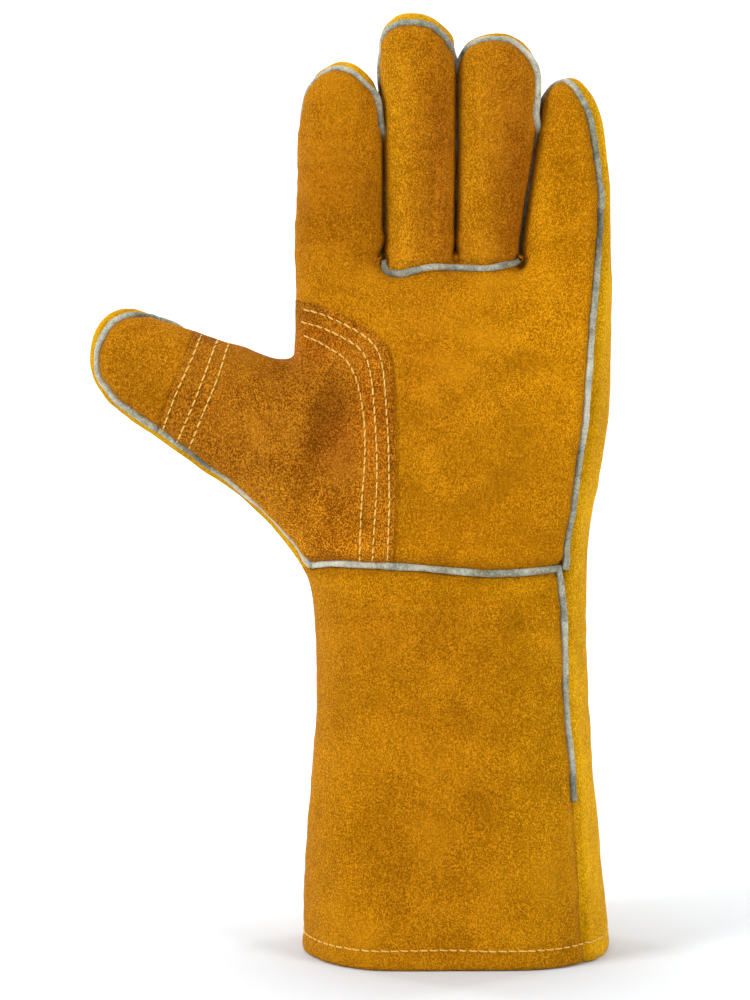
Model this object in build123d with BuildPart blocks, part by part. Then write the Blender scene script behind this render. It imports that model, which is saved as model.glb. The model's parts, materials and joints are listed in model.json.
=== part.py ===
from build123d import *
import math
import os

os.makedirs("parts", exist_ok=True)

# Left-hand welding gauntlet, standing on the hem of its cuff, palm towards -Y, fingers up.
# Origin: centre of the cuff mouth, on the plane that the hem stands on. Millimetres, +Z up.

# ---- driving dimensions -------------------------------------------------
LEATHER = 1.7          # split cowhide
GAP = 0.3              # between leather and lining
LINING = 1.6           # cotton fleece sock lining
WELT = 2.4             # width of the welt strip sewn into each seam
PATCH = 1.5            # reinforcement leather over thumb and heel of the palm
STITCH = 0.7           # sewing thread
BARREL = 1.5           # how far a knuckle barrel stands proud of its segment's half depth
CLEAR = 0.5            # running clearance of every flex joint

WRIST_Z = 167.0        # wrist seam, and the wrist's flex axis
PALM_TOP = 294.5       # crotches of the four fingers
SEAM_Y = -4.0          # digits: plane of the front-to-back seam, in front of the middle
HAND_SEAM_Y = -7.0     # hand: plane of the side seams
CUFF_TURN = 26.0       # cuff: its two seams lie on a plane turned this far about Z
HEM_FACING = 16.0      # depth of the turned-in hem
HEM_ROW = 8.5         # height of the hem's stitch row

# cuff sections: z, centre x, width, depth, corner radius
CUFF = [(0.0, 0.0, 132.0, 82.0, 40.0), (45.0, -0.2, 129.0, 75.0, 36.5), (98.0, -1.6, 117.2, 63.0, 30.5), (WRIST_Z, -2.2, 115.6, 56.0, 27.0)]
# palm sections
PALM = [(WRIST_Z, -2.2, 115.6, 56.0, 27.0), (215.0, -2.5, 128.0, 48.0, 23.0), (260.0, -1.6, 132.6, 37.0, 17.5), (PALM_TOP, -1.6, 132.6, 27.8, 12.5)]
WRIST_R = 28.0 + 2.0   # barrel of the wrist

# digits: hinge x, hinge z, sideways tilt, forward lean of lower and upper segment, width, depth, corner radius,
# length of lower segment, length of upper segment, side taper of the upper segment, tip rounding, loss of depth at the tip
DIGITS = {
    "index": dict(x=-49.8, z=303.0, tilt=0.0, lean=(1.5, 5.0), w=35.6, d=28.0, r=12.5, l1=38.0, l2=38.0, taper=0.0, tip=10.5, thin=2.0),
    "middle": dict(x=-16.1, z=303.0, tilt=0.0, lean=(1.5, 5.5), w=29.4, d=28.0, r=12.5, l1=46.0, l2=51.5, taper=0.0, tip=10.0, thin=2.0),
    "ring": dict(x=14.7, z=303.0, tilt=2.5, lean=(1.5, 5.0), w=29.4, d=28.0, r=12.5, l1=42.0, l2=47.0, taper=0.0, tip=10.5, thin=2.0),
    "little": dict(x=47.4, z=303.0, tilt=2.0, lean=(1.0, 4.0), w=32.4, d=26.4, r=11.5, l1=33.0, l2=38.0, taper=3.5, tip=9.0, thin=2.0),
    "thumb": dict(x=-91.0, z=229.0, tilt=-60.0, lean=(0.0, 3.0), w=54.0, d=30.0, r=13.5, l1=31.0, l2=41.5, taper=5.0, tip=10.5, thin=3.0),
}
# heel of the thumb, from the thumb's hinge back into the palm: distance along the thumb, width, depth, corner radius
THENAR = [(0.0, 54.0, 30.0, 13.5), (-22.0, 64.0, 36.0, 16.0), (-46.0, 74.0, 42.0, 19.0)]


def write(part, name):
    part.label = name
    export_step(part, f"parts/{name}.step")


def tube(sections, grow):
    """Upright tube through rounded-rectangle sections, each grown outwards by grow."""
    with BuildPart() as body:
        for z, cx, w, d, r in sections:
            with BuildSketch(Plane.XY.offset(z)):
                with Locations((cx, 0)):
                    RectangleRounded(w + 2 * grow, d + 2 * grow, r + grow)
        loft()
    return body.part


def prism(plane, low, high, w, d, r):
    """Straight rounded-rectangle prism along plane's normal, from low to high."""
    with BuildPart() as body:
        with BuildSketch(plane.offset(low)):
            RectangleRounded(w, d, r)
        extrude(amount=high - low)
    return body.part


def roller(plane, radius, width):
    """Cylinder about plane's x direction, centred on its origin."""
    with BuildPart() as body:
        with BuildSketch(Plane(origin=plane.origin, x_dir=plane.y_dir, z_dir=plane.x_dir)):
            Circle(radius)
        extrude(amount=width / 2, both=True)
    return body.part


def half(part, plane, keep):
    """The part of a solid on one side of a plane."""
    with BuildPart() as body:
        add(part)
        split(bisect_by=plane, keep=keep)
    return body.part


def cut_three(shell, seam, width):
    """Splits a shell along a seam plane into the piece in front, the welt strip and the piece behind."""
    front = half(shell, seam.offset(-width / 2), Keep.BOTTOM)
    back = half(shell, seam.offset(width / 2), Keep.TOP)
    strip = half(half(shell, seam.offset(-width / 2), Keep.TOP), seam.offset(width / 2), Keep.BOTTOM)
    return front, strip, back


def digit_planes(g):
    """Local frames at the base knuckle and at the middle knuckle: x across, y to the back, z along."""
    t = math.radians(g["tilt"])
    across = Vector(math.cos(t), 0, -math.sin(t))
    up = Vector(math.sin(t), 0, math.cos(t))
    planes, at = [], Vector(g["x"], 0, g["z"])
    for lean, length in zip(g["lean"], (g["l1"], g["l2"])):
        a = math.radians(lean)
        along = up * math.cos(a) + Vector(0, -1, 0) * math.sin(a)
        planes.append(Plane(origin=at, x_dir=across, z_dir=along))
        at = at + along * length
    return planes


def lower_width(g, name):
    """Width at the two ends of the lower segment."""
    return (g["w"], g["w"] - 8.0) if name == "thumb" else (g["w"], g["w"])


def segment(plane, length, w0, w1, g, grow, tip):
    """Solid outer form of one digit segment, grown by grow: tube above the hinge, with a rounded end if it is the fingertip."""
    with BuildPart() as body:
        if tip:
            shrink = 2 * (length + grow) * math.tan(math.radians(g["taper"]))
            with BuildSketch(plane):
                RectangleRounded(w0 + 2 * grow, g["d"] + 2 * grow, g["r"] + grow)
            with BuildSketch(plane.offset(length + grow)):
                RectangleRounded(w0 + 2 * grow - shrink, g["d"] + 2 * grow - g["thin"], g["r"] + grow - g["thin"] / 2)
            loft()
            end = body.faces().sort_by(Axis(plane.origin, plane.z_dir))[-1]
            fillet(end.edges(), radius=g["tip"] + grow)
        else:
            with BuildSketch(plane):
                RectangleRounded(w0 + 2 * grow, g["d"] + 2 * grow, g["r"] + grow)
            with BuildSketch(plane.offset(length)):
                RectangleRounded(w1 + 2 * grow, g["d"] + 2 * grow, g["r"] + grow)
            loft()
    return body.part


def segment_shell(plane, length, w0, w1, g, outer, inner, tip, next_plane):
    """One layer of a digit segment: its tube and the knuckle barrel below the hinge, hollow, and cut away round the next knuckle."""
    radius = g["d"] / 2 + BARREL
    reach = radius + outer
    with BuildPart() as barrel:
        # the leather bulges round the knuckle; the lining inside it runs straight
        add(prism(plane, -reach, 0.0, w0 + 2 * outer, 2 * reach if outer == 0.0 else g["d"] + 2 * outer, g["r"] + outer))
        add(roller(plane, reach, w0 + 20), mode=Mode.INTERSECT)
    with BuildPart() as hollow:
        add(segment(plane, length, w0, w1, g, inner, tip))
        add(prism(plane, -reach - 2, 0.0, w0 + 2 * inner, g["d"] + 2 * inner, g["r"] + inner))
    with BuildPart() as shell:
        add(segment(plane, length, w0, w1, g, outer, tip))
        add(barrel.part)
        add(hollow.part, mode=Mode.SUBTRACT)
        if next_plane is not None:
            add(roller(next_plane, radius + CLEAR, w0 + 20), mode=Mode.SUBTRACT)
    return shell.part


# ---- layers ---------------------------------------------------------------
IN_LEATHER = -LEATHER
OUT_LINING = -LEATHER - GAP
IN_LINING = -LEATHER - GAP - LINING

# ---- digits -----------------------------------------------------------------
frames = {}
for name, g in DIGITS.items():
    low, high = digit_planes(g)
    frames[name] = (low, high)
    wa, wb = lower_width(g, name)
    for part_name, plane, length, w0, w1, tip, nxt in (
        ("lower", low, g["l1"], wa, wb, False, high),
        ("upper", high, g["l2"], wb, wb, True, None),
    ):
        leather = segment_shell(plane, length, w0, w1, g, 0.0, IN_LEATHER, tip, nxt)
        lining = segment_shell(plane, length, w0, w1, g, OUT_LINING, IN_LINING, tip, nxt)
        seam = Plane(origin=plane.origin + plane.y_dir * SEAM_Y, x_dir=plane.x_dir, z_dir=plane.y_dir)
        front, welt, back = cut_three(leather, seam, WELT)
        write(front, f"{name}_front_leather_{part_name}")
        write(back, f"{name}_back_leather_{part_name}")
        write(welt, f"{name}_welt_{part_name}")
        write(lining, f"{name}_lining_{part_name}")

# ---- hand -------------------------------------------------------------------
thumb_plane = frames["thumb"][0]


def thenar(grow):
    with BuildPart() as body:
        for along, w, d, r in THENAR:
            with BuildSketch(thumb_plane.offset(along)):
                RectangleRounded(w + 2 * grow, d + 2 * grow, r + grow)
        loft()
    return body.part


def hand_solid(grow):
    with BuildPart() as body:
        add(tube(PALM, grow))
        add(thenar(grow))
    return body.part


def hand_void(grow):
    """Inside of a hand layer, running out through the wrist, the finger ends and the thumb's hinge."""
    with BuildPart() as body:
        add(hand_solid(grow))
        z, cx, w, d, r = PALM[-1]
        add(prism(Plane(origin=(cx, 0, z)), 0.0, 6.0, w + 2 * grow, d + 2 * grow, r + grow))
        z, cx, w, d, r = PALM[0]
        add(prism(Plane(origin=(cx, 0, z)), -WRIST_R - 4, 0.0, w + 2 * grow, d + 2 * grow, r + grow))
        along, w, d, r = THENAR[0]
        add(prism(thumb_plane, 0.0, 6.0, w + 2 * grow, d + 2 * grow, r + grow))
    return body.part


wrist_plane = Plane(origin=(PALM[0][1], 0, WRIST_Z))


def hand_shell(outer, inner):
    z, cx, w, d, r = PALM[0]
    reach = WRIST_R + outer
    with BuildPart() as barrel:
        add(prism(wrist_plane, -reach, 0.0, w + 2 * outer, 2 * reach if outer == 0.0 else d + 2 * outer, r + outer))
        add(roller(wrist_plane, reach, w + 40), mode=Mode.INTERSECT)
    with BuildPart() as shell:
        add(hand_solid(outer))
        add(barrel.part)
        add(hand_void(inner), mode=Mode.SUBTRACT)
        for name, (plane, _) in frames.items():
            g = DIGITS[name]
            add(roller(plane, g["d"] / 2 + BARREL + CLEAR, g["w"] + (2.0 if name == "thumb" else 1.4)), mode=Mode.SUBTRACT)
        # the rim between two recesses is trimmed level below the crotches
        with BuildSketch(Plane.XY.offset(PALM_TOP - 1.0)):
            with Locations((0, 0)):
                Rectangle(150, 60)
        extrude(amount=10, mode=Mode.SUBTRACT)
    return shell.part


hand_leather = hand_shell(0.0, IN_LEATHER)
hand_seam = Plane(origin=(0, HAND_SEAM_Y, 0), x_dir=(1, 0, 0), z_dir=(0, 1, 0))
palm, hand_strips, hand_back = cut_three(hand_leather, hand_seam, WELT)
write(palm, "palm_leather")
write(hand_back, "hand_back_leather")
with BuildPart() as outer_strip:
    add([s for s in hand_strips.solids() if s.center().X > 0])
write(outer_strip.part, "hand_side_welt")
with BuildPart() as inner_strip:
    add([s for s in hand_strips.solids() if s.center().X < 0])
write(inner_strip.part, "thumb_side_welt")
write(hand_shell(OUT_LINING, IN_LINING), "hand_lining")


def overlay(body_out, body_in, outline, lift=0.0):
    """Sheet lying on the palm side, between two grown forms, with a given outline in the XZ plane."""
    with BuildPart() as sheet:
        add(body_out)
        add(body_in, mode=Mode.SUBTRACT)
        with BuildSketch(Plane.XZ.offset(12.0)):
            add(outline)
        extrude(amount=60, mode=Mode.INTERSECT)
    return sheet.part


# outline of the reinforcement on the hand: x to the right, z up
with BuildSketch(Plane.XZ) as patch_outline:
    with BuildLine():
        Polyline((-27.5, 172.5), (-26.8, 218.0), (-27.5, 250.0))
        Spline((-27.5, 250.0), (-30.5, 262.0), (-42.8, 271.5), (-60.0, 278.5), tangents=((0.0, 1.0), (-1.0, 0.12)))
        Polyline((-60.0, 278.5), (-60.0, 250.0), (-66.0, 244.0), (-84.0, 207.0), (-74.0, 194.0), (-56.0, 172.5), (-27.5, 172.5))
    make_face()


def row_outline(points, width):
    """Narrow band that follows a stitch row."""
    with BuildSketch(Plane.XZ) as band:
        with BuildLine() as path:
            Polyline(*points)
        trace(line_width=width)
    return band.sketch


patch_low, patch_high = hand_solid(0.15), hand_solid(0.15 + PATCH)
patch = overlay(patch_high, patch_low, patch_outline.sketch)
write(patch, "palm_patch")

ROWS = [
    [(-30.4, 174.0), (-29.4, 222.0), (-31.6, 250.0), (-35.5, 261.5), (-45.0, 268.6), (-58.0, 274.5)],
    [(-35.6, 174.0), (-34.6, 222.0), (-36.4, 246.0), (-40.2, 257.5), (-47.6, 263.6), (-58.0, 268.6)],
    [(-41.2, 174.0), (-39.8, 205.0), (-39.8, 233.0), (-44.0, 250.0), (-50.0, 257.0), (-58.0, 262.2)],
]
with BuildPart() as rows:
    for row in ROWS:
        add(overlay(hand_solid(0.2 + PATCH + STITCH), hand_solid(0.2 + PATCH), row_outline(row, STITCH)))
write(rows.part, "palm_patch_stitching")

# welt along the seam where the middle and ring finger fronts are sewn to the palm, just below the finger crotches
base_path = [(-30.0, 290.4), (-24.0, 288.8), (-14.0, 290.4), (-3.0, 291.4), (9.0, 290.6), (26.0, 290.6)]
write(overlay(hand_solid(1.6), hand_solid(0.05), row_outline(base_path, WELT)), "finger_base_welt")

# welt along the front half of the wrist seam, from side welt to side welt, on the hand's side of the flex axis;
# the back leather runs on from hand to cuff with no welt across it
with BuildPart() as wrist_welt:
    z, cx, w, d, r = PALM[0]
    with BuildSketch(Plane.XY.offset(z + 0.6)):
        with Locations((cx, 0)):
            RectangleRounded(w + 2.4, d + 2.4, r + 1.2)
    extrude(amount=WELT)
    add(tube(PALM, 0.05), mode=Mode.SUBTRACT)
    add(thenar(0.05), mode=Mode.SUBTRACT)
    with BuildSketch(Plane.XY.offset(z - 5)):
        with Locations((0, HAND_SEAM_Y + WELT / 2 - 40)):
            Rectangle(240, 80)
    extrude(amount=20, mode=Mode.INTERSECT)
write(wrist_welt.part, "wrist_welt")

# ---- thumb reinforcement ------------------------------------------------------
g = DIGITS["thumb"]
wa, wb = lower_width(g, "thumb")


def thumb_band(low_grow, high_grow, z0, z1):
    with BuildPart() as band:
        add(segment(thumb_plane, g["l1"], wa, wb, g, high_grow, False))
        add(segment(thumb_plane, g["l1"], wa, wb, g, low_grow, False), mode=Mode.SUBTRACT)
        with BuildSketch(thumb_plane.offset(z0)):
            with Locations((0, -12.0 - 15)):
                Rectangle(wa - 6, 30)
        extrude(amount=z1 - z0, mode=Mode.INTERSECT)
    return band.part


write(thumb_band(0.15, 0.15 + PATCH, 9.5, 20.5), "thumb_patch")
with BuildPart() as thumb_rows:
    for at in (11.5, 15.0, 18.5):
        add(thumb_band(0.2 + PATCH, 0.2 + PATCH + STITCH, at, at + STITCH))
write(thumb_rows.part, "thumb_patch_stitching")

# ---- cuff -----------------------------------------------------------------------


def cuff_shell(outer, inner, low):
    with BuildPart() as shell:
        add(tube(CUFF, outer))
        add(tube(CUFF, inner), mode=Mode.SUBTRACT)
        add(roller(wrist_plane, WRIST_R + CLEAR, 180), mode=Mode.SUBTRACT)
        if low > 0:
            with BuildSketch():
                Rectangle(160, 120)
            extrude(amount=low, mode=Mode.SUBTRACT)
    return shell.part


turn = math.radians(CUFF_TURN)
cuff_seam = Plane(origin=(0, 0, 0), x_dir=(math.cos(turn), -math.sin(turn), 0), z_dir=(math.sin(turn), math.cos(turn), 0))
cuff_front, cuff_strips, cuff_back = cut_three(cuff_shell(0.0, IN_LEATHER, 0.0), cuff_seam, WELT)
write(cuff_front, "cuff_front_panel")
write(cuff_back, "cuff_back_panel")
with BuildPart() as side_welt:
    add([s for s in cuff_strips.solids() if s.center().X > 0])
write(side_welt.part, "cuff_side_welt")
with BuildPart() as rear_strip:
    add([s for s in cuff_strips.solids() if s.center().X < 0])
write(rear_strip.part, "cuff_rear_seam_tape")
write(cuff_shell(OUT_LINING, IN_LINING, HEM_FACING + 0.6), "cuff_lining")

with BuildPart() as facing:
    add(cuff_shell(OUT_LINING + 0.1, OUT_LINING + 0.1 - LEATHER, 0.0))
    with BuildSketch(Plane.XY.offset(HEM_FACING)):
        Rectangle(160, 120)
    extrude(amount=200, mode=Mode.SUBTRACT)
write(facing.part, "cuff_hem_facing")

with BuildPart() as hem_row:
    with BuildSketch(Plane.XY.offset(HEM_ROW)):
        Rectangle(160, 120)
    extrude(amount=STITCH)
    add(tube(CUFF, 0.05 + STITCH), mode=Mode.INTERSECT)
    add(tube(CUFF, 0.05), mode=Mode.SUBTRACT)
write(hem_row.part, "cuff_hem_stitching")
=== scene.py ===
import bpy
import json
import math
import time
import numpy as np
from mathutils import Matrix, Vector
from mathutils.kdtree import KDTree

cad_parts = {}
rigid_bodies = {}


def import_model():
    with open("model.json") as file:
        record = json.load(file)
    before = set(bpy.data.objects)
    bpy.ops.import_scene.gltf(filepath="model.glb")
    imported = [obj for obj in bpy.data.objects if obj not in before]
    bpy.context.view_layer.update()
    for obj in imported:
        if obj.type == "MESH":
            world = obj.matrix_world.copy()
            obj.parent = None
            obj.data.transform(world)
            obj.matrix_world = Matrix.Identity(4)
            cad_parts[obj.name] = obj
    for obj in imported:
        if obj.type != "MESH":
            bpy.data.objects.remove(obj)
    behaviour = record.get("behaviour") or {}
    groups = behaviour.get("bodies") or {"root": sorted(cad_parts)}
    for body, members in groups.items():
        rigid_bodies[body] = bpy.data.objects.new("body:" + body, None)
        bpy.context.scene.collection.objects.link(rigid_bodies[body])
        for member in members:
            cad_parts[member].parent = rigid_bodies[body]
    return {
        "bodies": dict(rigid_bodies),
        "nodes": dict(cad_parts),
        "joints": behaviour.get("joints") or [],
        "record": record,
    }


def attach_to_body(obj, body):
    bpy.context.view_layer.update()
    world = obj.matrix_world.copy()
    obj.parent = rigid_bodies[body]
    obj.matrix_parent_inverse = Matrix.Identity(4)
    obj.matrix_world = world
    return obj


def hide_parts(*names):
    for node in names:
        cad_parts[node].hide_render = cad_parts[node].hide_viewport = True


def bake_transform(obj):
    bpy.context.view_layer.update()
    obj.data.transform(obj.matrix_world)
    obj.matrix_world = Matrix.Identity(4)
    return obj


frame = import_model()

began = time.time()
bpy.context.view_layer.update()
rng = np.random.default_rng(7)

# =====================================================================
# Row frame, millimetres: +Z from the hem to the fingertips, palm to -Y,
# thumb to -X, origin at the centre of the cuff's mouth on the floor.
# =====================================================================
STEP = 1.3           # mesh grid of the leather
LEATHER = 1.6
LINE_IN = 3.0                          # lining surface, this far inside the leather's outer face
WRIST_Z = 167.0

# ---- outlines of the glove's parts, (x, z) -------------------------
BODY = [(-65.9, -12), (-65.9, 4.7), (-65.7, 22.8), (-64.6, 48.3), (-62.5, 72.8), (-61.0, 89.9), (-60.2, 102.9),
        (-59.8, 117.7), (-60.0, 132.9), (-60.9, 145.6), (-62.3, 155.6), (-64.4, 162.7), (-65.8, 170.0), (-66.4, 182.0), (-67.2, 200.0),
        (-67.8, 225.0), (-68.2, 250.0), (-68.2, 275.0), (-68.0, 299.5), (65.2, 299.5), (65.2, 285.0), (65.2, 272.3), (64.9, 253.0), (64.3, 234.6),
        (61.9, 215.4), (59.3, 201.3), (57.4, 186.7), (56.3, 172.6), (55.6, 160.0), (55.2, 147.6), (55.6, 127.7),
        (56.9, 97.7), (58.3, 77.6), (59.5, 67.8), (61.1, 53.1), (63.8, 28.1), (65.6, 12.7), (66.1, 6.6), (66.2, -12)]
THUMB = [(-66.0, 253.0), (-75.2, 253.5), (-83.8, 255.9), (-92.0, 258.6), (-100.3, 261.3), (-110.0, 265.1), (-119.7, 269.5), (-129.4, 273.4),
         (-136.1, 275.5), (-141.0, 275.8), (-145.9, 274.4), (-150.8, 270.5), (-153.7, 265.6), (-155.2, 259.8), (-155.5, 254.0),
         (-154.4, 248.2), (-152.0, 243.3), (-148.3, 237.4), (-139.5, 229.6), (-129.8, 222.2), (-120.1, 215.4), (-110.4, 208.6),
         (-100.7, 202.2), (-90.9, 195.3), (-81.1, 187.4), (-74.3, 179.5), (-69.5, 172.6), (-60.0, 160.0), (-30.0, 172.0), (-38.0, 236.0)]
INDEX = [(-68.0, 276.0), (-68.0, 299.5), (-67.0, 338.0), (-65.6, 362.1), (-63.1, 368.8), (-59.3, 373.4), (-53.4, 377.2), (-48.7, 378.5),
         (-43.0, 377.2), (-38.1, 373.4), (-34.8, 368.2), (-32.6, 362.9), (-31.7, 350.0), (-31.6, 328.4), (-31.6, 309.2), (-31.6, 276.0)]
MIDDLE = [(-30.6, 276.0), (-30.6, 309.0), (-30.6, 328.0), (-31.0, 348.0), (-31.6, 362.0), (-32.8, 376.3), (-33.5, 385.0), (-32.9, 389.8), (-30.1, 394.5),
          (-25.4, 398.5), (-18.9, 400.3), (-13.2, 399.3), (-7.8, 395.7), (-3.6, 391.4), (-1.8, 387.0), (-1.3, 377.1), (-1.3, 365.2),
          (-1.1, 349.2), (-1.2, 333.3), (-1.4, 317.4), (-1.6, 309.2), (-1.8, 276.0)]
RING = [(-0.8, 276.0), (-0.6, 309.2), (-0.2, 333.3), (-0.1, 349.2), (-0.2, 365.0), (-0.1, 377.1), (0.9, 383.5), (3.6, 387.4), (7.6, 389.8), (13.1, 391.2),
        (19.5, 391.4), (24.4, 389.4), (28.4, 385.4), (31.6, 380.3), (33.7, 374.7), (34.4, 368.0), (34.2, 362.0), (33.0, 355.0), (31.3, 341.3),
        (29.4, 329.3), (27.6, 317.2), (26.2, 306.9), (25.4, 298.7), (24.8, 276.0)]
LITTLE = [(26.2, 276.0), (26.8, 298.7), (27.6, 306.9), (29.0, 317.2), (30.8, 329.3), (32.6, 341.3), (34.2, 353.2), (35.4, 360.4),
          (36.6, 366.8), (39.2, 370.2), (43.0, 372.4), (47.5, 372.4), (51.7, 370.0), (57.3, 363.8), (61.5, 353.4), (63.2, 337.3), (64.3, 309.2), (65.1, 285.0), (65.1, 276.0)]
# fingers: outline, spread given while meshing, forward lean below and above the middle knuckle, its height, half depth
FINGERS = {
    "index": (INDEX, -7.5, 0.026, 0.062, 341.0, 14.0),
    "middle": (MIDDLE, -2.5, 0.026, 0.080, 349.0, 14.0),
    "ring": (RING, 2.5, 0.026, 0.062, 345.0, 13.8),
    "little": (LITTLE, 7.5, 0.020, 0.055, 336.0, 13.2),
}
SPLITS = {"index": (296.5, 319.0, 321.5, 329.0, 353.0), "middle": (296.5, 320.0, 325.0, 337.0, 361.0),
          "ring": (296.5, 320.0, 323.5, 333.0, 357.0), "little": (296.5, 317.0, 319.5, 325.0, 347.0)}
ORDER = ["index", "middle", "ring", "little"]
T_AT, T_ALONG, T_UP = np.array([-91.0, 229.0]), np.array([-0.8660, 0.5]), np.array([0.5, 0.8660])
T_SPLIT = (-3.0, 17.0, 19.0, 20.0, 42.0)


def chaikin(poly, n=2):
    p = np.array(poly, float)
    for _ in range(n):
        q = np.roll(p, -1, axis=0)
        p = np.stack([p * 0.75 + q * 0.25, p * 0.25 + q * 0.75], 1).reshape(-1, 2)
    return p


def chaikin_open(line, n=2):
    p = np.array(line, float)
    for _ in range(n):
        q = np.stack([p[:-1] * 0.75 + p[1:] * 0.25, p[:-1] * 0.25 + p[1:] * 0.75], 1).reshape(-1, 2)
        p = np.concatenate([p[:1], q, p[-1:]])
    return p


def poly_sdf(poly, x, z):
    """Distance to a closed outline in the XZ plane, positive inside."""
    p = np.asarray(poly, float)
    q = np.roll(p, -1, axis=0)
    shape = np.shape(x)
    px, pz = np.ravel(x), np.ravel(z)
    best = np.full(px.shape, 1e9)
    inside = np.zeros(px.shape, bool)
    for (ax, az), (bx, bz) in zip(p, q):
        dx, dz = bx - ax, bz - az
        length = dx * dx + dz * dz
        if length < 1e-12:
            continue
        t = np.clip(((px - ax) * dx + (pz - az) * dz) / length, 0, 1)
        best = np.minimum(best, (px - ax - t * dx) ** 2 + (pz - az - t * dz) ** 2)
        if abs(dz) > 1e-12:
            hit = ((az > pz) != (bz > pz)) & (px < (pz - az) * dx / dz + ax)
            inside ^= hit
    d = np.sqrt(best)
    return np.where(inside, d, -d).reshape(shape)


def dense(line, gap=2.0):
    """The same open line with points no further apart than gap."""
    out = [np.array(line[0], float)]
    for a, b in zip(line[:-1], line[1:]):
        a, b = np.array(a, float), np.array(b, float)
        n = max(1, int(math.ceil(np.linalg.norm(b - a) / gap)))
        out += [a + (b - a) * i / n for i in range(1, n + 1)]
    return np.array(out)


class Flat:
    """A function of (x, z), stored on a fine grid so that it can be read quickly anywhere."""

    def __init__(self, poly, x0=-175.0, x1=85.0, z0=-25.0, z1=420.0, step=1.0):
        self.x0, self.z0, self.step = x0, z0, step
        gx, gz = np.arange(x0, x1, step), np.arange(z0, z1, step)
        X, Z = np.meshgrid(gx, gz, indexing="ij")
        self.v = poly_sdf(poly, X, Z)

    def __call__(self, x, z):
        u = np.clip((x - self.x0) / self.step, 0, self.v.shape[0] - 1.001)
        w = np.clip((z - self.z0) / self.step, 0, self.v.shape[1] - 1.001)
        i, k = u.astype(int), w.astype(int)
        a, b = u - i, w - k
        v = self.v
        return (v[i, k] * (1 - a) * (1 - b) + v[i + 1, k] * a * (1 - b) + v[i, k + 1] * (1 - a) * b + v[i + 1, k + 1] * a * b)


def smin(a, b, k):
    h = np.clip(0.5 + 0.5 * (b - a) / k, 0, 1)
    return b * (1 - h) + a * h - k * h * (1 - h)


def slab(D, v, b, r, ex=1.0):
    """Rounded-edge slab: D is the distance inside the outline, v the height off its middle, b the half depth, r the edge rounding."""
    qx = (r - D / ex)
    qy = np.abs(v) - (b - r)
    return np.sqrt(np.maximum(qx, 0) ** 2 + np.maximum(qy, 0) ** 2) + np.minimum(np.maximum(qx, qy), 0) - r


def smooth01(t):
    t = np.clip(t, 0, 1)
    return t * t * (3 - 2 * t)


def spread(name, z):
    return FINGERS[name][1] * smooth01((z - 296.0) / 12.0)


def whole_outline():
    """One closed outline of the glove, with its fingers spread apart and a slit between each two."""
    left = [p for p in BODY if p[0] < 0 and p[1] < 168]
    left[0] = (-65.9, -90.0)
    thumb = [p for p in THUMB if p[0] < -66.5][::-1]
    up = [(-69.2, 255.0), (-68.2, 259.0), (-68.1, 266.0)]
    out = left + thumb + up
    crotch = [(-31.1, 293.6), (-1.2, 293.2), (25.9, 293.4)]
    for i, name in enumerate(ORDER):
        line = [p for p in FINGERS[name][0] if p[1] > 290]
        line = chaikin_open(line, 2)
        line = dense([(-68.1, 272.0)] + list(line)) if i == 0 else dense(list(line) + [(65.1, 284.0)]) if i == 3 else dense(line)
        out += [(x + float(spread(name, z)), z) for x, z in line]
        if i < 3:
            out.append(crotch[i])
    right = [p for p in BODY if p[0] > 0 and p[1] < 290]
    right[-1] = (66.2, -90.0)
    return out + right


OUTLINE = chaikin(whole_outline(), 1)
flat = Flat(OUTLINE, z0=-40.0, step=0.8)
BZ = np.array([-60, -20, 0, 45, 98, 140, 158, 167, 178, 195, 215, 240, 260, 280, 292, 305.0, 420.0])
BB = np.array([42.5, 42.0, 41.0, 37.0, 31.5, 28.8, 27.4, 26.6, 27.4, 28.4, 27.0, 23.6, 20.6, 17.2, 15.2, 14.2, 13.9])
DZ = np.arange(-60, 420, 1.0)
DB = np.convolve(np.pad(np.interp(DZ, BZ, BB), 20, mode="edge"), np.exp(-(np.arange(-20, 21) / 8.0) ** 2) / np.exp(-(np.arange(-20, 21) / 8.0) ** 2).sum(), "valid")
TT = np.arange(-80, 90, 1.0)
TB = np.interp(TT, [-60, -45, -20, 0, 20, 45, 60], [28.0, 25.0, 19.5, 16.2, 15.4, 15.2, 14.4])
TB = np.convolve(np.pad(TB, 15, mode="edge"), np.exp(-(np.arange(-15, 16) / 8.0) ** 2) / np.exp(-(np.arange(-15, 16) / 8.0) ** 2).sum(), "valid")


def thumb_t(x, z):
    return (x - T_AT[0]) * T_ALONG[0] + (z - T_AT[1]) * T_ALONG[1]


def thumb_share(x, z):
    return smooth01((thumb_t(x, z) + 36.0) / 34.0) * smooth01((-56.0 - x) / 16.0) * smooth01((292.0 - z) / 14.0)


def half_depth(x, z):
    b = np.interp(z, DZ, DB)
    u = np.clip((x + 1.5) / 66.0, -1, 1)
    b = b * (1 - 0.06 * u ** 2)
    w = thumb_share(x, z)
    return b * (1 - w) + np.interp(thumb_t(x, z), TT, TB) * w


def which_finger(x, z):
    """Finger number from 0 to 3 at a spread-out position."""
    g = 5.0 * smooth01((z - 296) / 12)
    ring_edge = np.interp(z, [295, 306.9, 317.2, 329.3, 341.3, 355.0, 363], [26.0, 26.9, 28.3, 30.1, 32.0, 33.7, 34.9])
    return (x > -31.1 - g).astype(int) + (x > -1.1) + (x > ring_edge + g)


LEAN_LOW = np.array([FINGERS[n][2] for n in ORDER])
LEAN_HIGH = np.array([FINGERS[n][3] for n in ORDER])
LEAN_Z = np.array([FINGERS[n][4] for n in ORDER])


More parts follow.
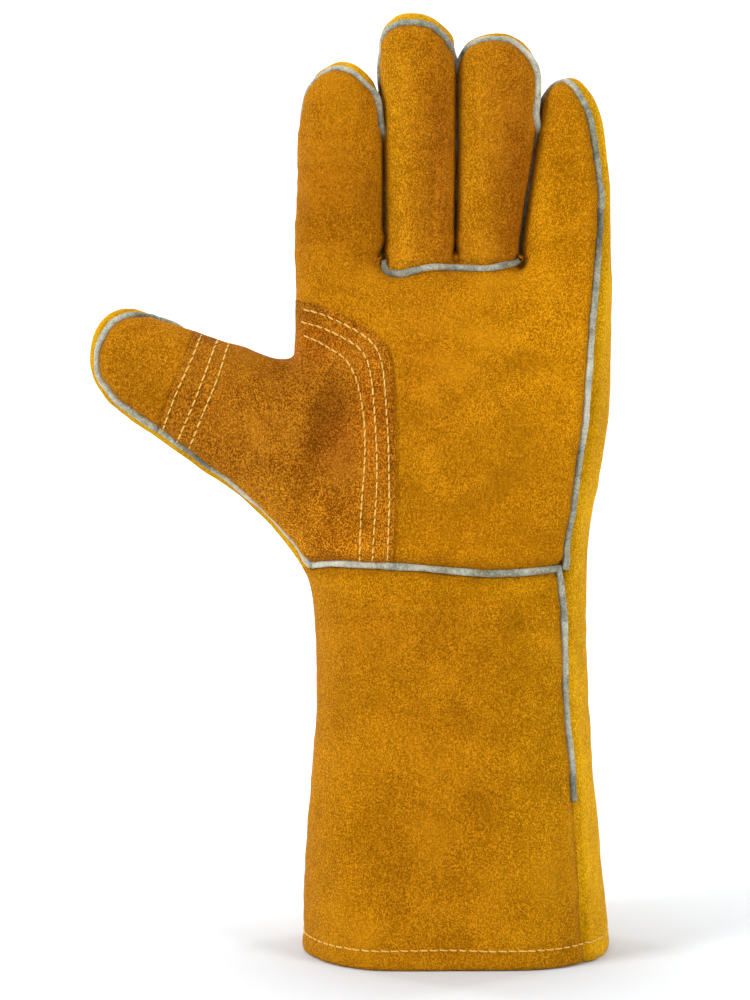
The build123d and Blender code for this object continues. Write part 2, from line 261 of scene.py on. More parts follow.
def centre_y(x, z, k=None):
    k = which_finger(x, z) if k is None else k
    lo, hi, zp = LEAN_LOW[k], LEAN_HIGH[k], LEAN_Z[k]
    lean = -lo * np.maximum(z - 303, 0) - (hi - lo) * 10 * np.log1p(np.exp(np.clip((z - zp) / 10, -30, 30)))
    w = thumb_share(x, z)
    t = thumb_t(x, z)
    return lean * (1 - w) + w * (-0.052 * np.maximum(t - 31.0, 0) - 1.2)


def plan(x, z):
    """Distance inside the outline, with a small web of leather at the foot of the slit between each two fingers."""
    D = flat(x, z)
    for cx, cz, size in ((-33.0, 297.3, 2.8), (-1.0, 297.2, 2.6), (26.2, 297.0, 2.4)):
        D = np.maximum(D, size - np.hypot(x - cx, z - cz))
    return D


def f_all(x, y, z):
    b = half_depth(x, z)
    return slab(plan(x, z), y - centre_y(x, z), b, b * 0.97)


def unspread(v):
    """Takes meshed points back to the row frame; also gives each its finger, or -1 below the crotches."""
    k = which_finger(v[:, 0], v[:, 2])
    out = v.copy()
    for i, name in enumerate(ORDER):
        out[:, 0] = np.where(k == i, v[:, 0] - spread(name, v[:, 2]), out[:, 0])
    return out, np.where(v[:, 2] > 296.5, k, -1)


def front_y(x, z, k):
    """Height of the palm side at row-frame (x, z) on finger k (or any k below the crotches)."""
    k = np.broadcast_to(np.asarray(k, int), np.shape(x))
    xs = np.array(x, float)
    for i, name in enumerate(ORDER):
        xs = np.where(k == i, xs + spread(name, z), xs)
    D, b = plan(xs, z), half_depth(xs, z)
    r = b * 0.97
    q = np.clip(r - D, 0, r)
    return centre_y(xs, z, np.maximum(k, 0)) - (np.sqrt(np.maximum(r * r - q * q, 0)) + b - r)


def surface_nets(f, lo, hi, step):
    n = [int(math.ceil((hi[i] - lo[i]) / step)) + 1 for i in range(3)]
    ax = [lo[i] + step * np.arange(n[i]) for i in range(3)]
    V = np.empty(n, np.float32)
    for k in range(0, n[2], 24):
        X, Y, Z = np.meshgrid(ax[0], ax[1], ax[2][k:k + 24], indexing="ij")
        V[:, :, k:k + 24] = f(X, Y, Z)
    S = V < 0
    acc = np.zeros([n[0] - 1, n[1] - 1, n[2] - 1, 3], np.float32)
    cnt = np.zeros([n[0] - 1, n[1] - 1, n[2] - 1], np.float32)
    corners = [(0, 0, 0), (1, 0, 0), (0, 1, 0), (1, 1, 0), (0, 0, 1), (1, 0, 1), (0, 1, 1), (1, 1, 1)]

    def sub(A, c):
        return A[c[0]:n[0] - 1 + c[0], c[1]:n[1] - 1 + c[1], c[2]:n[2] - 1 + c[2]]
    for a in range(8):
        for b in range(a + 1, 8):
            ca, cb = corners[a], corners[b]
            if sum(abs(ca[i] - cb[i]) for i in range(3)) != 1:
                continue
            va, vb = sub(V, ca), sub(V, cb)
            m = (va < 0) != (vb < 0)
            t = np.where(m, va / np.where(m, va - vb, 1), 0)
            for i in range(3):
                acc[..., i] += np.where(m, ca[i] + t * (cb[i] - ca[i]), 0)
            cnt += m
    act = cnt > 0
    idx = np.full(act.shape, -1, np.int64)
    idx[act] = np.arange(act.sum())
    ii = np.argwhere(act)
    verts = (ii + acc[act] / cnt[act][:, None]) * step + np.array(lo)
    quads = []
    for d in range(3):
        o = [i for i in range(3) if i != d]
        s0 = [slice(1, n[i] - 1) if i in o else slice(0, n[i] - 1) for i in range(3)]
        s1 = [slice(1, n[i] - 1) if i in o else slice(1, n[i]) for i in range(3)]
        A, B = S[tuple(s0)], S[tuple(s1)]
        for flip, m in ((False, A & ~B), (True, ~A & B)):
            e = np.argwhere(m)
            if not len(e):
                continue
            base = e.copy()
            for i in o:
                base[:, i] += 1
            cells = []
            for da, db in ((0, 0), (1, 0), (1, 1), (0, 1)):
                c = base.copy()
                c[:, o[0]] -= da
                c[:, o[1]] -= db
                cells.append(idx[c[:, 0], c[:, 1], c[:, 2]])
            q = np.stack(cells, 1)
            if (d == 1) != flip:
                q = q[:, ::-1]
            quads.append(q)
    return verts, np.concatenate(quads), V, ax


def tri_of(quads, v):
    a = ((v[quads[:, 0]] - v[quads[:, 2]]) ** 2).sum(1) < ((v[quads[:, 1]] - v[quads[:, 3]]) ** 2).sum(1)
    one = np.where(a[:, None], quads[:, [0, 1, 2]], quads[:, [0, 1, 3]])
    two = np.where(a[:, None], quads[:, [0, 2, 3]], quads[:, [1, 2, 3]])
    return np.concatenate([one, two])


def normals_of(v, t):
    n = np.cross(v[t[:, 1]] - v[t[:, 0]], v[t[:, 2]] - v[t[:, 0]])
    out = np.zeros_like(v)
    for i in range(3):
        np.add.at(out, t[:, i], n)
    return out / np.maximum(np.linalg.norm(out, axis=1), 1e-12)[:, None]


def relax(v, t, f, rounds, rate=0.5):
    """Evens the mesh out along the surface and pulls it back onto f = 0."""
    e = np.concatenate([t[:, [0, 1]], t[:, [1, 2]], t[:, [2, 0]]])
    e = np.unique(np.sort(e, 1), axis=0)
    deg = np.bincount(e.ravel(), minlength=len(v)).astype(float)
    for _ in range(rounds):
        s = np.zeros_like(v)
        np.add.at(s, e[:, 0], v[e[:, 1]])
        np.add.at(s, e[:, 1], v[e[:, 0]])
        d = s / np.maximum(deg, 1)[:, None] - v
        n = normals_of(v, t)
        d -= n * (d * n).sum(1)[:, None] * 0.6
        v = v + d * rate
        h = 0.25
        val = f(v[:, 0], v[:, 1], v[:, 2])
        g = np.stack([(f(v[:, 0] + h * (i == 0), v[:, 1] + h * (i == 1), v[:, 2] + h * (i == 2)) - val) / h for i in range(3)], 1)
        gg = np.maximum((g ** 2).sum(1), 0.2)
        v = v - g * np.clip(val / gg, -1.0, 1.0)[:, None]
    return v


base, quads, V, axes = surface_nets(f_all, (-160, -46, -8), (82, 46, 405), STEP)
tris = tri_of(quads, base)
print("net", len(base), len(tris), round(time.time() - began, 1))
base = relax(base, tris, f_all, 3)
print("relaxed", round(time.time() - began, 1))

# =====================================================================
# mesh tools: rows of V are x, y, z, nx, ny, nz, finger
# =====================================================================


def split_by(V, T, f, mask=None):
    """Cuts the triangles along f = 0; returns the new mesh and f with exact zeros on the cut."""
    f = f.copy()
    f[np.abs(f) < 0.03] = 0.0
    if mask is None:
        mask = np.ones(len(T), bool)
    s = np.sign(f[T]).astype(int)
    mixed = (s.min(1) < 0) & (s.max(1) > 0) & mask
    keep = T[~mixed]
    km = mask[~mixed]
    M, sm = T[mixed], s[mixed]
    if not len(M):
        return V, T, f, mask
    N = len(V)
    e = np.concatenate([M[:, [0, 1]], M[:, [1, 2]], M[:, [2, 0]]])
    es = np.concatenate([sm[:, [0, 1]], sm[:, [1, 2]], sm[:, [2, 0]]])
    e = np.sort(e[es[:, 0] * es[:, 1] < 0], 1)
    keys = np.unique(e[:, 0] * N + e[:, 1])
    a, b = keys // N, keys % N
    t = (f[a] / (f[a] - f[b]))[:, None]
    W = V[a] * (1 - t) + V[b] * t
    W[:, 6] = np.where(V[a, 6] >= 0, V[a, 6], V[b, 6])
    V = np.concatenate([V, W])
    f = np.concatenate([f, np.zeros(len(W))])

    def mid(p, q):
        return N + np.searchsorted(keys, np.minimum(p, q) * N + np.maximum(p, q))
    zero = (sm == 0).any(1)
    out = [keep]
    Z, sz = M[zero], sm[zero]
    if len(Z):
        r = np.argmax(sz == 0, 1)
        i = np.arange(len(Z))
        z, p, q = Z[i, r], Z[i, (r + 1) % 3], Z[i, (r + 2) % 3]
        m = mid(p, q)
        out += [np.stack([z, p, m], 1), np.stack([z, m, q], 1)]
    L, sl = M[~zero], sm[~zero]
    if len(L):
        lone = np.where(sl.sum(1) > 0, -1, 1)
        r = np.argmax(sl == lone[:, None], 1)
        i = np.arange(len(L))
        l, p, q = L[i, r], L[i, (r + 1) % 3], L[i, (r + 2) % 3]
        m1, m2 = mid(l, p), mid(l, q)
        out += [np.stack([l, m1, m2], 1), np.stack([m1, p, q], 1), np.stack([m1, q, m2], 1)]
    T = np.concatenate(out)
    mask = np.concatenate([km, np.ones(len(T) - len(km), bool)])
    return V, T, f, mask


def chains(edges):
    """Joins undirected edges into ordered runs of vertices."""
    near = {}
    for a, b in edges:
        near.setdefault(int(a), []).append(int(b))
        near.setdefault(int(b), []).append(int(a))
    used, out = set(), []
    starts = [k for k, v in near.items() if len(v) == 1] + list(near)
    for s0 in starts:
        for nxt in near[s0]:
            if (min(s0, nxt), max(s0, nxt)) in used:
                continue
            run, a, b = [s0], s0, nxt
            while True:
                used.add((min(a, b), max(a, b)))
                run.append(b)
                go = [c for c in near[b] if (min(b, c), max(b, c)) not in used]
                if not go or b == s0:
                    break
                a, b = b, go[0]
            out.append(run)
    return out


def border_edges(T, label, want):
    """Edges between triangles whose labels satisfy want(label_a, label_b)."""
    e = np.concatenate([T[:, [0, 1]], T[:, [1, 2]], T[:, [2, 0]]])
    lab = np.concatenate([label] * 3)
    key = np.sort(e, 1)
    k = key[:, 0] * (T.max() + 1) + key[:, 1]
    o = np.argsort(k, kind="stable")
    k, key, lab = k[o], key[o], lab[o]
    same = np.flatnonzero(k[1:] == k[:-1])
    ok = want(lab[same], lab[same + 1])
    return key[same][ok]


def fade_lattice(seed, n=64):
    return np.random.default_rng(seed).random((n, n, n)).astype(np.float32) * 2 - 1


LATTICE = fade_lattice(11)


def noise(p, size, shift=0.0):
    """Smooth noise between about -1 and 1 at points p (mm), features about size across."""
    q = p / size + 37.3 + shift
    i = np.floor(q).astype(int)
    f = q - i
    f = f * f * (3 - 2 * f)
    n = LATTICE.shape[0]
    out = 0
    for dx in (0, 1):
        for dy in (0, 1):
            for dz in (0, 1):
                w = (f[:, 0] if dx else 1 - f[:, 0]) * (f[:, 1] if dy else 1 - f[:, 1]) * (f[:, 2] if dz else 1 - f[:, 2])
                out = out + w * LATTICE[(i[:, 0] + dx) % n, (i[:, 1] + dy) % n, (i[:, 2] + dz) % n]
    return out


# ---- lines measured on the glove's palm side, (x, z) -----------------
SIDE = [(44.8, 372.0), (50.1, 366.5), (54.9, 357.0), (56.9, 345.4), (59.0, 333.4), (59.9, 321.4), (59.7, 305.6), (57.8, 285.6), (56.2, 268.5),
        (54.6, 249.7), (52.8, 231.1), (51.6, 218.9), (50.3, 202.8), (47.6, 183.7), (44.8, 171.4), (43.4, 165.9)]
CUFF_SIDE = [(42.9, 175.0), (43.2, 166.4), (44.7, 154.8), (45.0, 139.8), (45.4, 120.1), (47.0, 100.3), (48.6, 85.6), (49.5, 72.7), (49.4, 56.9), (50.5, 44.0),
             (51.9, 26.7), (53.2, 13.7), (54.6, 3.0), (55.0, -4.0)]
THUMB_WELT = [(-126.5, 272.4), (-130.5, 273.8), (-134.2, 274.4), (-139.1, 274.2), (-144.0, 272.0), (-148.0, 268.1), (-150.9, 262.7), (-152.9, 256.9), (-152.4, 250.1), (-150.1, 243.3),
              (-145.3, 236.9), (-136.5, 230.3), (-126.9, 223.6), (-115.2, 215.2), (-105.6, 208.0), (-95.8, 201.1), (-86.1, 193.8), (-78.2, 186.4), (-71.4, 178.6), (-65.5, 170.6), (-61.6, 165.7)]
INDEX_WELT = [(-62.7, 369.6), (-56.4, 375.0), (-51.6, 376.6), (-45.8, 375.6), (-40.0, 371.8), (-35.8, 366.5), (-33.6, 360.0)]
MIDDLE_WELT = [(-30.6, 392.5), (-25.4, 395.3), (-17.3, 395.7), (-10.9, 394.2), (-6.3, 390.5), (-3.6, 386.0)]
RING_WELT = [(2.0, 384.5), (4.5, 387.2), (9.0, 389.1), (20.3, 389.3), (25.2, 386.6), (29.2, 381.8), (31.7, 375.5), (32.4, 370.0), (32.0, 363.6)]
WRIST = [(-70.0, 166.4), (-64.7, 166.9), (-59.3, 168.7), (-50.7, 170.0), (-36.3, 169.7), (-17.1, 168.7), (-2.8, 167.3), (11.7, 166.1), (26.0, 166.6), (41.3, 167.7), (60.0, 168.0)]
BASE = [(-31.3, 293.6), (-30.4, 292.4), (-28.5, 291.3), (-23.7, 291.3), (-17.3, 293.0), (-10.9, 294.2), (-3.0, 294.0), (3.4, 293.8), (9.8, 293.2), (14.6, 293.6), (18.5, 294.6), (26.0, 295.6)]
PATCH_LINE = [(-60, 150), (-27.8, 150), (-27.9, 170.8), (-27.0, 187.8), (-26.5, 202.3), (-26.4, 217.7), (-26.9, 231.3), (-27.3, 245.7), (-28.4, 255.3), (-30.8, 262.0),
              (-35.6, 267.0), (-42.8, 271.1), (-51.4, 275.6), (-60.0, 278.4), (-67.2, 279.4), (-76.0, 280.5), (-80.0, 262.0), (-95.0, 275.0), (-114.5, 275.0), (-111.0, 265.6), (-114.9, 255.9),
              (-118.9, 246.2), (-122.9, 235.4), (-126.3, 226.6), (-131.0, 216.0), (-100.0, 185.0), (-72.0, 150.0)]
ROWS = [
    [(-29.9, 171.5), (-29.0, 192.6), (-29.2, 207.2), (-29.4, 221.7), (-30.3, 236.1), (-31.3, 250.5), (-33.3, 259.2), (-37.1, 263.9), (-42.8, 267.8), (-51.5, 272.1), (-58.1, 274.9), (-66.6, 276.4)],
    [(-36.2, 171.5), (-35.2, 187.8), (-34.2, 202.3), (-34.2, 216.8), (-35.0, 231.3), (-36.1, 245.7), (-38.0, 256.0), (-41.9, 261.4), (-49.6, 265.3), (-56.2, 268.7), (-66.8, 271.1)],
    [(-41.4, 171.5), (-41.2, 182.9), (-40.6, 197.5), (-39.6, 207.2), (-38.9, 221.7), (-40.0, 236.1), (-42.8, 248.6), (-47.2, 256.6), (-54.3, 260.5), (-59.2, 263.2), (-67.0, 265.9)],
]
THUMB_ROWS = [
    [(-108.0, 265.6), (-111.5, 255.4), (-116.0, 246.2), (-119.9, 237.4), (-124.6, 224.0)],
    [(-101.3, 263.0), (-106.2, 249.1), (-111.1, 236.4), (-118.6, 219.4)],
    [(-96.6, 261.6), (-100.4, 248.2), (-106.3, 234.5), (-113.7, 216.2)],
]
RING_EDGE_Z = [295, 306.9, 317.2, 329.3, 341.3, 355.0, 363]
RING_EDGE_X = [26.0, 26.9, 28.3, 30.1, 32.0, 33.7, 34.9]


def seam_points():
    """Where the front and back leathers meet, as points (x, y, z, finger)."""
    p = []

    def on_front(line, k):
        line = np.array(dense(line, 3.0))
        y = front_y(line[:, 0], line[:, 1], np.full(len(line), k))
        p.extend([(x, yy, z, k) for (x, z), yy in zip(line, y)])

    def at(k, off, *xz):
        for x, z in dense(xz, 5.0):
            p.append((x, float(centre_y(np.array([x]), np.array([z]), np.array([max(k, 0)]))[0]) + off, z, k))
    on_front(SIDE, 3)
    at(3, -1.5, (40.5, 371.0), (37.5, 368.0))
    at(3, 4.0, (35.6, 360.0), (32.6, 341.0), (29.0, 317.0), (27.2, 303.0))
    on_front(RING_WELT, 2)
    at(2, 4.5, (30.5, 341.0), (28.0, 317.0), (26.2, 303.0))
    at(2, 4.5, (-0.2, 372.0), (-0.2, 340.0), (-0.5, 303.0))
    at(2, -0.5, (0.5, 381.0))
    on_front(MIDDLE_WELT, 1)
    at(1, 4.5, (-1.3, 372.0), (-1.2, 340.0), (-1.6, 303.0))
    at(1, -1.0, (-2.0, 383.0))
    at(1, 4.5, (-32.6, 374.0), (-31.0, 345.0), (-30.6, 303.0))
    at(1, -1.0, (-33.2, 387.0))
    on_front(INDEX_WELT, 0)
    at(0, 4.0, (-31.8, 338.0), (-31.7, 303.0))
    at(0, 3.5, (-66.6, 345.0), (-67.6, 320.0), (-68.0, 300.0), (-68.2, 275.0))
    at(0, 0.0, (-65.6, 362.0))
    at(-1, 6.0, (-68.8, 262.0), (-73.0, 254.5), (-84.0, 257.0), (-100.0, 262.5))
    at(-1, 5.0, (-112.0, 267.5))
    at(-1, 1.5, (-120.0, 270.5))
    on_front(THUMB_WELT, -1)
    p[:] = [(a_, b_ - 1.6 * float(np.clip((a_ + 62.0) / -10.0, 0, 1)) * (1 if c_ < 245 else 0), c_, k_) if k_ == -1 and a_ < -61 and c_ < 252 else (a_, b_, c_, k_) for a_, b_, c_, k_ in p]
    at(-1, 3.5, (-31.1, 294.0), (-1.1, 294.0), (26.2, 294.0))
    return np.array(p)


SEAM = seam_points()
CSEAM = dense(CUFF_SIDE, 4.0)
CSEAM_Y = front_y(CSEAM[:, 0], CSEAM[:, 1], np.full(len(CSEAM), -1))


def hand_seam_y(x, z, k):
    num, den = np.zeros(len(x)), np.zeros(len(x))
    for px, py, pz, pk in SEAM:
        d2 = (x - px) ** 2 + (z - pz) ** 2
        # a finger only follows its own points above the crotches
        same = (k < 0) | (pk < 0) | (k == pk)
        w = np.where(same, 1.0, 1e-4) / (d2 + 3.0) ** 2
        num += w * py
        den += w
    xs = x.copy()
    for i, name in enumerate(ORDER):
        xs = np.where(k == i, xs + spread(name, z), xs)
    D = flat(xs, z)
    w = smooth01((D - 9.5) / 5.0)
    return num / den * (1 - w) + centre_y(xs, z, np.maximum(np.round(k), 0).astype(int)) * w


def cuff_seam_y(x, z):
    right = np.interp(z, CSEAM[::-1, 1], CSEAM_Y[::-1])
    left = np.interp(z, [0, 167], [22.0, 15.0])
    w = smooth01((x - 5.0) / 35.0)
    deep = 60.0 * smooth01((flat(x, z) - np.interp(z, [0, 80, 170], [30.0, 27.0, 24.0])) / 8.0) * 0
    # a plane through both seams, so that it only meets the surface there
    xr = np.interp(z, CSEAM[::-1, 1], CSEAM[::-1, 0])
    xl = -58.0
    u = (x - xl) / (xr - xl)
    return left + (right - left) * u + deep


def wrist_z(x, y):
    zf = np.interp(x, [p[0] for p in WRIST], [p[1] for p in WRIST])
    w = smooth01((y + 12.0) / 24.0)
    return zf * (1 - w) + 168.2 * w


def base_field(x, y, z, k):
    f = np.minimum(z - np.interp(x, [p[0] for p in BASE], [p[1] for p in BASE]), np.minimum(x + 31.1, 26.0 - x))
    f = np.where((k == 1) | (k == 2), np.maximum(f, z - 296.4), f)
    return np.where((k == 0) | (k == 3), -5.0, f)


flat_patch = Flat(chaikin(PATCH_LINE, 2), step=0.7)

# ---- cut the whole skin along its seams -----------------------------------
true, finger = unspread(base)
nrm = normals_of(true, tris)
V = np.concatenate([true, nrm, finger[:, None].astype(float)], 1)
T = tris
V, T, f, _ = split_by(V, T, V[:, 2])
T = T[f[T].mean(1) > 0]
V, T, f_wrist, _ = split_by(V, T, V[:, 2] - wrist_z(V[:, 0], V[:, 1]))
is_hand = f_wrist[T].mean(1) > 0


def recut(V, T, func, mask):
    V, T, f, m = split_by(V, T, func(V), mask)
    return V, T, f


def col(V, i):
    return V[:, i]


f_side = V[:, 1] - hand_seam_y(V[:, 0], V[:, 2], V[:, 6])
V, T, f_side, is_hand = split_by(V, T, f_side, is_hand)
front_hand = is_hand & (f_side[T].mean(1) < 0)
f_cuff = V[:, 1] - cuff_seam_y(V[:, 0], V[:, 2])
lab = np.where(is_hand, np.where(front_hand, 1, 2), 0)


def split_labelled(V, T, lab, f, which):
    """Cuts only the triangles whose label is in which, keeping every triangle's label."""
    out_t, out_l = [], []
    for value in np.unique(lab):
        part = T[lab == value]
        if value not in which:
            out_t.append(part)
            out_l.append(np.full(len(part), value))
    todo = np.isin(lab, list(which))
    V2, T2, f2, _ = V, T[todo], f, None
    lab2 = lab[todo]
    # cut each label with one shared table of new vertices
    f = f.copy()
    f[np.abs(f) < 0.03] = 0.0
    V2, T2, f2, tag = split_tagged(V, T2, f, lab2)
    out_t.append(T2)
    out_l.append(tag)
    return V2, np.concatenate(out_t), np.concatenate(out_l), f2


def split_tagged(V, T, f, tag):
    s = np.sign(f[T]).astype(int)
    mixed = (s.min(1) < 0) & (s.max(1) > 0)
    keep, kt = T[~mixed], tag[~mixed]
    M, sm, mt = T[mixed], s[mixed], tag[mixed]
    if not len(M):
        return V, T, f, tag
    N = len(V)
    e = np.concatenate([M[:, [0, 1]], M[:, [1, 2]], M[:, [2, 0]]])
    es = np.concatenate([sm[:, [0, 1]], sm[:, [1, 2]], sm[:, [2, 0]]])
    e = np.sort(e[es[:, 0] * es[:, 1] < 0], 1)
    keys = np.unique(e[:, 0] * N + e[:, 1])
    a, b = keys // N, keys % N
    t = (f[a] / (f[a] - f[b]))[:, None]
    W = V[a] * (1 - t) + V[b] * t
    W[:, 6] = np.where(V[a, 6] >= 0, V[a, 6], V[b, 6])
    V = np.concatenate([V, W])
    f = np.concatenate([f, np.zeros(len(W))])

    def mid(p, q):
        return N + np.searchsorted(keys, np.minimum(p, q) * N + np.maximum(p, q))
    zero = (sm == 0).any(1)
    out, ot = [keep], [kt]
    Z, sz, zt = M[zero], sm[zero], mt[zero]
    if len(Z):
        r = np.argmax(sz == 0, 1)
        i = np.arange(len(Z))
        z, p, q = Z[i, r], Z[i, (r + 1) % 3], Z[i, (r + 2) % 3]
        m = mid(p, q)
        out += [np.stack([z, p, m], 1), np.stack([z, m, q], 1)]
        ot += [zt, zt]
    L, sl, lt = M[~zero], sm[~zero], mt[~zero]
    if len(L):
        lone = np.where(sl.sum(1) > 0, -1, 1)
        r = np.argmax(sl == lone[:, None], 1)
        i = np.arange(len(L))
        l, p, q = L[i, r], L[i, (r + 1) % 3], L[i, (r + 2) % 3]
        m1, m2 = mid(l, p), mid(l, q)
        out += [np.stack([l, m1, m2], 1), np.stack([m1, p, q], 1), np.stack([m1, q, m2], 1)]
        ot += [lt, lt, lt]
    return V, np.concatenate(out), f, np.concatenate(ot)


# labels: 0 cuff (then 10 front, 11 back), 1 palm side, 2 back of the hand, 3 patch, 4 middle and ring fronts
V, T, lab, f_cuff = split_labelled(V, T, lab, f_cuff, {0})
m = lab == 0
lab[m] = np.where(f_cuff[T[m]].mean(1) < 0, 10, 11)
f_patch = flat_patch(V[:, 0], V[:, 2])
V, T, lab, f_patch = split_labelled(V, T, lab, f_patch, {1})
m = (lab == 1) & (f_patch[T].mean(1) > 0)
lab[m] = 3
f_base = base_field(V[:, 0], V[:, 1], V[:, 2], V[:, 6])
V, T, lab, f_base = split_labelled(V, T, lab, f_base, {1})
m = (lab == 1) & (f_base[T].mean(1) > 0)
lab[m] = 4
print("cut", len(V), len(T), round(time.time() - began, 1))

# ---- seam lines ---------------------------------------------------------------
front_labels = (1, 3, 4)
isfront = lambda l: np.isin(l, front_labels)
ishand = lambda l: np.isin(l, (1, 2, 3, 4))
side_edges = border_edges(T, lab, lambda a, b: (isfront(a) & (b == 2)) | (isfront(b) & (a == 2)))
cuff_edges = border_edges(T, lab, lambda a, b: ((a == 10) & (b == 11)) | ((a == 11) & (b == 10)))
base_edges = border_edges(T, lab, lambda a, b: ((a == 1) & (b == 4)) | ((a == 4) & (b == 1)))
patch_edges = border_edges(T, lab, lambda a, b: ((a == 1) & (b == 3)) | ((a == 3) & (b == 1)))


def smooth_run(P, n=3, closed=False):
    for _ in range(n):
        Q = P.copy()
        if closed:
            Q = 0.5 * P + 0.25 * (np.roll(P, 1, 0) + np.roll(P, -1, 0))
        else:
            Q[1:-1] = 0.5 * P[1:-1] + 0.25 * (P[2:] + P[:-2])
        P = Q
    return P


def resample(P, gap):
    d = np.concatenate([[0], np.cumsum(np.linalg.norm(np.diff(P[:, :3], axis=0), axis=1))])
    n = max(3, int(d[-1] / gap) + 1)
    s = np.linspace(0, d[-1], n)
    return np.stack([np.interp(s, d, P[:, i]) for i in range(P.shape[1])], 1), s


def runs_of(edges, least=12.0):
    out = []
    for run in chains(edges):
        P = V[run]
        closed = run[0] == run[-1]
        length = np.linalg.norm(np.diff(P[:, :3], axis=0), axis=1).sum()
        if length < least:
            continue
        out.append((P, closed, length))
    return sorted(out, key=lambda r: -r[2])


side_runs, cuff_runs, base_runs, patch_runs = map(runs_of, (side_edges, cuff_edges, base_edges, patch_edges))
xs = np.linspace(0, 2 * math.pi, 400, endpoint=False)
for name, r in (("side", side_runs), ("cuff", cuff_runs), ("base", base_runs), ("patch", patch_runs)):
    print(name, [(round(q[2]), q[1], [round(c) for c in q[0][0, :3]], [round(c) for c in q[0][-1, :3]]) for q in r[:6]])


def wrist_loop():
    """The wrist seam as one closed run, its points in order around the glove."""
    ids = np.flatnonzero(np.abs(V[:, 2] - wrist_z(V[:, 0], V[:, 1])) < 0.06)
    ids = ids[np.argsort(np.arctan2(V[ids, 1] / 27.0, (V[ids, 0] + 4.0) / 57.0), kind="stable")]
    keep = [ids[0]]
    for i in ids[1:]:
        if np.linalg.norm(V[i, :3] - V[keep[-1], :3]) > 0.3:
            keep.append(i)
    P = V[keep + [keep[0]]]
    return [(P, True, float(np.linalg.norm(np.diff(P[:, :3], axis=0), axis=1).sum()))]


wrist_runs = wrist_loop()
print("wrist", [(round(q[2]), q[1]) for q in wrist_runs[:4]])

# =====================================================================
# relief: seams pulled in, puckers, folds and wrinkles
# =====================================================================
Pv = V[:, :3].copy()
Nv = normals_of(Pv, T)


def line_tree(runs, gap=1.0):
    P = [resample(r[0][:, :3], gap)[0] for r in runs]
    S = [np.concatenate([[0], np.cumsum(np.linalg.norm(np.diff(p, axis=0), axis=1))]) + 500.0 * i for i, p in enumerate(P)]
    P, S = np.concatenate(P), np.concatenate(S)
    tree = KDTree(len(P))
    for i, p in enumerate(P):
        tree.insert(p, i)
    tree.balance()
    return tree, S


def line_distance(runs, pts, reach):
    tree, S = line_tree(runs)
    d, s = np.full(len(pts), 1e3), np.zeros(len(pts))
    for i, p in enumerate(pts):
        _, j, q = tree.find(p)
        if q < reach:
            d[i], s[i] = q, S[j]
    return d, s


d_side, s_side = line_distance(side_runs, Pv, 16)
d_wrist, s_wrist = line_distance(wrist_runs, Pv, 22)
d_base, s_base = line_distance(base_runs, Pv, 14)
d_cuff, s_cuff = line_distance(cuff_runs, Pv, 14)
d_patch, s_patch = line_distance(patch_runs, Pv, 10)
# the back leather runs on across the wrist, so that seam is only on the palm side
behind = V[:, 1] - hand_seam_y(V[:, 0], np.full(len(V), 169.0), np.full(len(V), -1.0))
wrist_front = 1 - smooth01((behind + 1.5) / 3.0)
d_wrist = np.where(wrist_front > 0.02, d_wrist / np.maximum(wrist_front, 0.05) ** 0.5, 1e3)
# sides of the fingers that face another finger
crevice = np.zeros(len(V))
for i, name in enumerate(ORDER):
    on = (V[:, 6] == i) & (V[:, 2] > 297.0)
    facing = {0: smooth01((Nv[:, 0] - 0.3) / 0.3), 3: smooth01((-Nv[:, 0] - 0.3) / 0.3)}.get(i, smooth01((np.abs(Nv[:, 0]) - 0.3) / 0.3))
    top = {0: 363.0, 1: 374.0, 2: 374.0, 3: 360.0}[i]
    crevice = np.where(on, facing * (1 - smooth01((V[:, 2] - top) / 8.0)) * smooth01((V[:, 2] - 296.5) / 4.0), crevice)
print("distances", round(time.time() - began, 1))


def ripple(s, size, seed):
    p = np.stack([s, np.full(len(s), seed * 13.7), np.zeros(len(s))], 1)
    return noise(p, size)


def seam_relief(d, s, depth, width, pucker, reach, seed):
    """Leather turned in along a seam, and the puckers that the thread draws up beside it."""
    groove = -depth * np.exp(-(d / width) ** 2) * (1 + 0.25 * ripple(s, 9.0, seed))
    roll = 0.35 * depth * np.exp(-((d - 2.1 * width) / (1.1 * width)) ** 2)
    folds = pucker * (ripple(s, 3.6, seed + 2) + 0.6 * ripple(s, 7.5, seed + 3)) * np.exp(-(d / reach) ** 2) * (1 - 0.6 * np.exp(-(d / 1.2) ** 2))
    return groove + roll + folds


crotch = sum(np.exp(-((V[:, 0] - cx) ** 2 + (V[:, 2] - 294.5) ** 2) / 5.5 ** 2) for cx in (-31.1, -1.2, 25.9))
disp = seam_relief(d_side, s_side, 1.5, 2.6, 0.40, 5.5, 1) * (1 - crevice) * (1 - np.clip(1.1 * crotch, 0, 1))
disp += seam_relief(d_wrist, s_wrist, 2.0, 3.4, 0.60, 8.5, 5) * wrist_front
disp += seam_relief(d_base, s_base, 1.7, 2.8, 0.55, 7.0, 9)
disp += np.where(Pv[:, 0] > 0, 1.0, 0.75) * seam_relief(d_cuff, s_cuff, 1.2, 2.4, 0.35, 6.0, 13)
# the whole wrist is drawn in by its seam
disp -= (0.4 + 0.9 * wrist_front) * np.exp(-((Pv[:, 2] - 168) / 16.0) ** 2)
